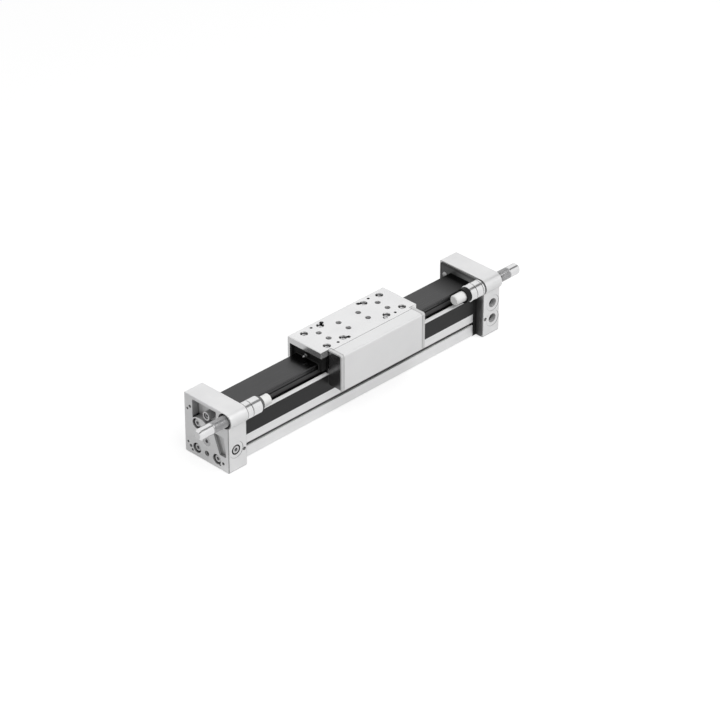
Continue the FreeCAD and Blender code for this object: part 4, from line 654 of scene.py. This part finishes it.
def makeDamperBody(end, opts):
    low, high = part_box(end + "_damper_body")
    capLow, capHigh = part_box(end + "_end_cap")
    way = 1.0 if end == "near" else -1.0  # from the outer end towards the carriage
    outer = low.x if end == "near" else high.x
    length = (high.x - low.x) / mm
    capFace = abs((capLow.x if end == "near" else capHigh.x) - outer) / mm
    centre = (low + high) / 2
    radius, edge, pitch = opts["radius"], opts["edge"], opts["pitch"]
    start, stop = opts["smoothEnd"][end], capFace + opts["inCap"]
    rows = [(0.0, radius - edge, 0.0), (edge, radius, 0.0), (start - opts["runIn"], radius, 0.0)]
    count = int((stop - start) / pitch * opts["stepsPerTurn"])
    for step in range(count + 1):
        along = start + (stop - start) * step / count
        fade = min(1.0, (along - start) / pitch, (stop - along) / pitch)
        rows.append((along, radius, fade))
    wall = length - opts["frontWall"]
    rows += [(length, radius, 0.0), (length, opts["rodHole"], 0.0), (wall, opts["rodHole"], 0.0),
             (wall, opts["bore"], 0.0), (opts["backWall"], opts["bore"], 0.0)]
    around = opts["around"]
    verts = []
    for along, size, fade in rows:
        for number in range(around):
            share = number / around
            cut = opts["depth"] * fade * (1.0 - threadShape(along / pitch - share, opts["flank"]))
            angle = 2 * math.pi * share
            verts.append((outer + way * along * mm, centre.y + math.cos(angle) * (size - cut) * mm,
                          centre.z + math.sin(angle) * (size - cut) * mm))
    faces = []
    for row in range(len(rows) - 1):
        for number in range(around):
            following = (number + 1) % around
            quad = (row * around + number, row * around + following,
                    (row + 1) * around + following, (row + 1) * around + number)
            faces.append(quad if way > 0 else quad[::-1])
    first = tuple(range(around))
    last = tuple((len(rows) - 1) * around + number for number in range(around))
    faces.append(first[::-1] if way > 0 else first)
    faces.append(last if way > 0 else last[::-1])
    piece = addPiece(end + "DamperThreaded", verts, faces, finishes["turnedChrome"], "base")
    piece.data.materials.append(finishes["threadedSteel"])
    for face in piece.data.polygons:
        along = abs(face.center.x - outer) / mm
        away = (Vector(face.center) - centre).yz.length / mm
        if start - opts["threadLead"] < along < stop and away > opts["threadFloor"]:
            face.material_index = 1
    shadeSmooth(piece, opts["smooth"])
    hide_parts(end + "_damper_body")


for end in ends:
    makeDamperBody(end, damperSet)
print("shock absorber bodies threaded")


# threads in the open holes, each a ridge wound on the wall of the hole

threadSet = {
    "around": 28,
    "smooth": 40.0,
    "table": {"radius": 2.5, "depth": 5.6, "pitch": 1.0, "start": 0.5},
    "centre": {"radius": 2.5, "depth": 9.0, "pitch": 1.0, "start": 0.6},
    "small": {"radius": 1.45, "depth": 6.5, "pitch": 0.6, "start": 0.5},
    "port": {"radius": 4.3, "depth": 4.9, "pitch": 0.9, "start": 0.9},
    "tablePitch": (23.5, 11.8),  # mm
    "tableMiddle": (7.3, -1.1),  # mm, from the middle of the drive and from the rail's plane
    "holeSpread": 19.6,  # mm to the sides of the rail's plane
    "lowHoles": 7.3,  # heights
    "highHole": 45.8,
    "centreHole": 8.4,
    "portHeights": (15.3, 30.8),
    "crest": 0.42,  # how far the ridge stands in, in pitches
    "flat": 0.08,  # half widths of its crest and its foot, in pitches
    "foot": 0.44,
    "inWall": 0.02,  # mm that the foot goes into the wall
    "runOut": 0.4,  # turns that the ridge takes to grow and to end
    "leastRidge": 0.05,
}


def woundRidge(verts, faces, mouth, into, opts):
    into = Vector(into).normalized()
    side = into.orthogonal().normalized()
    up = into.cross(side)
    around, pitch, radius = threadSet["around"], opts["pitch"], opts["radius"]
    steps = int((opts["depth"] - opts["start"]) / pitch * around)
    runOut, least = threadSet["runOut"] * around, threadSet["leastRidge"]
    flat, foot = threadSet["flat"] * pitch, threadSet["foot"] * pitch
    base = len(verts)
    for step in range(steps + 1):
        angle = 2 * math.pi * step / around
        out = side * math.cos(angle) + up * math.sin(angle)
        along = opts["start"] + pitch * step / around
        grow = min(1.0, step / runOut, (steps - step) / runOut) * (1.0 - least) + least
        wall, crest = radius + threadSet["inWall"], radius - threadSet["crest"] * pitch * grow
        for offset, size in ((-foot, wall), (-flat, crest), (flat, crest), (foot, wall)):
            verts.append(mouth + (into * (along + offset * grow) + out * size) * mm)
    for step in range(steps):
        for corner in range(4):
            following = (corner + 1) % 4
            a, b = base + step * 4, base + step * 4 + 4
            faces.append((a + corner, a + following, b + following, b + corner))
    faces.append((base + 3, base + 2, base + 1, base))
    last = base + steps * 4
    faces.append((last, last + 1, last + 2, last + 3))


def makeThreads(name, holes, finish, body):
    verts, faces = [], []
    for mouth, into, opts in holes:
        woundRidge(verts, faces, Vector(mouth), into, opts)
    piece = addPiece(name, verts, faces, finish, body)
    shadeSmooth(piece, threadSet["smooth"])


def tableHoles(opts):
    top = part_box("carriage_plate")[1].z
    pitchX, pitchY = opts["tablePitch"]
    middleX, middleY = opts["tableMiddle"]
    spots = [(middleX + i * pitchX, middleY + j * pitchY)
             for i in (-1.5, -0.5, 0.5, 1.5) for j in (-0.5, 0.5)]
    return [((x * mm, axisY + y * mm, top), (0, 0, -1), opts["table"]) for x, y in spots]


def capHoles(end, opts):
    low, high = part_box(end + "_end_cap")
    face, into = (low.x, 1) if end == "near" else (high.x, -1)
    spread = opts["holeSpread"]
    spots = [(spread, opts["lowHoles"], "small"), (-spread, opts["lowHoles"], "small"),
             (spread, opts["highHole"], "small"), (0.0, opts["centreHole"], "centre")]
    holes = [((face, axisY + y * mm, z * mm), (into, 0, 0), opts[kind]) for y, z, kind in spots]
    if end == "far":
        x = face + into * capSet["sidePort"] * mm
        holes += [((x, portFloor, z * mm), (0, 1, 0), opts["port"]) for z in opts["portHeights"]]
    return holes


makeThreads("tableThreads", tableHoles(threadSet), finishes["tableThread"],
            "carriage")
for end in ends:
    makeThreads(end + "CapThreads", capHoles(end, threadSet), finishes["cutThread"],
                "base")
print("threads cut")


# sealing ring under the rim of the plug in the near cap's side port

ringSet = {
    "around": 48,
    "smooth": 30.0,
    # radius and height in mm
    "section": ((3.35, -0.3), (3.4, 0.12), (3.6, 0.24), (4.3, 0.24), (4.55, 0.14), (4.7, -0.03)),
}


def lathe(verts, faces, centre, out, section, around):
    out = Vector(out).normalized()
    side = out.orthogonal().normalized()
    up = out.cross(side)
    base, rows = len(verts), len(section)
    for radius, height in section:
        for step in range(around):
            angle = 2 * math.pi * step / around
            spoke = side * math.cos(angle) + up * math.sin(angle)
            verts.append(centre + (out * height + spoke * radius) * mm)
    for row in range(rows):
        for step in range(around):
            a, b = base + row * around, base + (row + 1) % rows * around
            following = (step + 1) % around
            faces.append((a + step, b + step, b + following, a + following))


def makePlugRing(opts):
    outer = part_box("near_end_cap")[0].x
    centre = Vector((outer + capSet["sidePort"] * mm, portFloor, capSet["boreHeight"] * mm))
    verts, faces = [], []
    lathe(verts, faces, centre, (0, -1, 0), opts["section"], opts["around"])
    piece = addPiece("plugRing", verts, faces, finishes["sealRubber"], "base")
    shadeSmooth(piece, opts["smooth"])


makePlugRing(ringSet)
print("plug ring laid")


# rubber lips of the wipers, close round the rail

lipSet = {
    "smooth": 30.0,
    "gap": 0.06,  # mm between lip and rail
    "low": 43.7,  # mm, lower ends of the lip
    "corner": 0.6,
    "cornerSteps": 6,
    # mm away from the rail and outwards
    "section": ((0.0, -0.05), (0.0, 0.95), (0.22, 1.1), (0.5, 0.95), (1.0, 0.35), (1.0, -0.05)),
}


def makeLip(end, opts):
    low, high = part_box(end + "_wiper")
    face, way = (low.x, -1.0) if end == "near" else (high.x, 1.0)
    half = (rail[1].y - rail[0].y) / 2 / mm + opts["gap"]
    top = rail[1].z / mm + opts["gap"]
    verts, faces = [], []
    for away, outwards in opts["section"]:
        turn = opts["corner"] + away
        line = [(-half - away, opts["low"])]
        for side, first in ((-1, 180), (1, 90)):
            for step in range(opts["cornerSteps"] + 1):
                angle = math.radians(first - 90 * step / opts["cornerSteps"])
                line.append((side * (half - opts["corner"]) + math.cos(angle) * turn,
                             top - opts["corner"] + math.sin(angle) * turn))
        line.append((half + away, opts["low"]))
        verts += [(face + way * outwards * mm, axisY + y * mm, z * mm) for y, z in line]
    count = len(verts) // len(opts["section"])
    rows = len(opts["section"])
    for row in range(rows):
        for step in range(count - 1):
            a, b = row * count + step, (row + 1) % rows * count + step
            quad = (a, a + 1, b + 1, b)
            faces.append(quad if way > 0 else quad[::-1])
    first = tuple(row * count for row in range(rows))
    last = tuple(row * count + count - 1 for row in reversed(range(rows)))
    faces += [cover if way > 0 else cover[::-1] for cover in (first, last)]
    piece = addPiece(end + "WiperLip", verts, faces, finishes["sealRubber"], "carriage")
    shadeSmooth(piece, opts["smooth"])


for end in ends:
    makeLip(end, lipSet)
print("wiper lips made")


# inner sealing band in two halves, split in the middle of its dip under the driver

bandSet = {
    "cuts": 24,  # along each half
    "near": (-131.9, -24.5),  # mm along the stroke: held by the profile, free to go with the carriage
    "far": (131.9, 46.3),
    "dip": (2, 3),  # sections of the band at the ends of its lowest stretch
    "digits": (5, 6),  # rounding along the stroke and across it
}


def bandRows(opts):
    along, across = opts["digits"]
    rows = {}
    for vert in parts["inner_sealing_band"].data.vertices:
        corner = (round(vert.co.y, across), round(vert.co.z, across))
        rows.setdefault(round(vert.co.x, along), set()).add(corner)
    ordered = []
    for x in sorted(rows):
        middle = [sum(values) / len(rows[x]) for values in zip(*rows[x])]
        around = sorted(rows[x], key=lambda c: math.atan2(c[1] - middle[1], c[0] - middle[0]))
        ordered.append((x, around))
    return ordered


def bandCorners(rows, x):
    for (first, low), (last, high) in zip(rows, rows[1:]):
        if first <= x <= last:
            share = (x - first) / (last - first)
            return [(x, a[0] + (b[0] - a[0]) * share, a[1] + (b[1] - a[1]) * share)
                    for a, b in zip(low, high)]


def makeBand(end, opts):
    rows = bandRows(opts)
    middle = sum(rows[number][0] for number in opts["dip"]) / 2
    low, high = (rows[0][0], middle) if end == "near" else (middle, rows[-1][0])
    places = {low + (high - low) * step / opts["cuts"] for step in range(opts["cuts"] + 1)}
    places = sorted(places | {x for x, corners in rows if low < x < high})
    verts, faces = [], []
    for x in places:
        verts += bandCorners(rows, x)
    for step in range(len(places) - 1):
        for corner in range(4):
            following = (corner + 1) % 4
            a, b = step * 4, step * 4 + 4
            faces.append((a + corner, a + following, b + following, b + corner))
    last = len(places) * 4 - 4
    faces += [(3, 2, 1, 0), (last, last + 1, last + 2, last + 3)]
    piece = newPiece(end + "SealingBand", verts, faces, finishes["plainSteel"])
    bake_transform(piece)
    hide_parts("inner_sealing_band")


for end in ends:
    makeBand(end, bandSet)
print("sealing band laid")
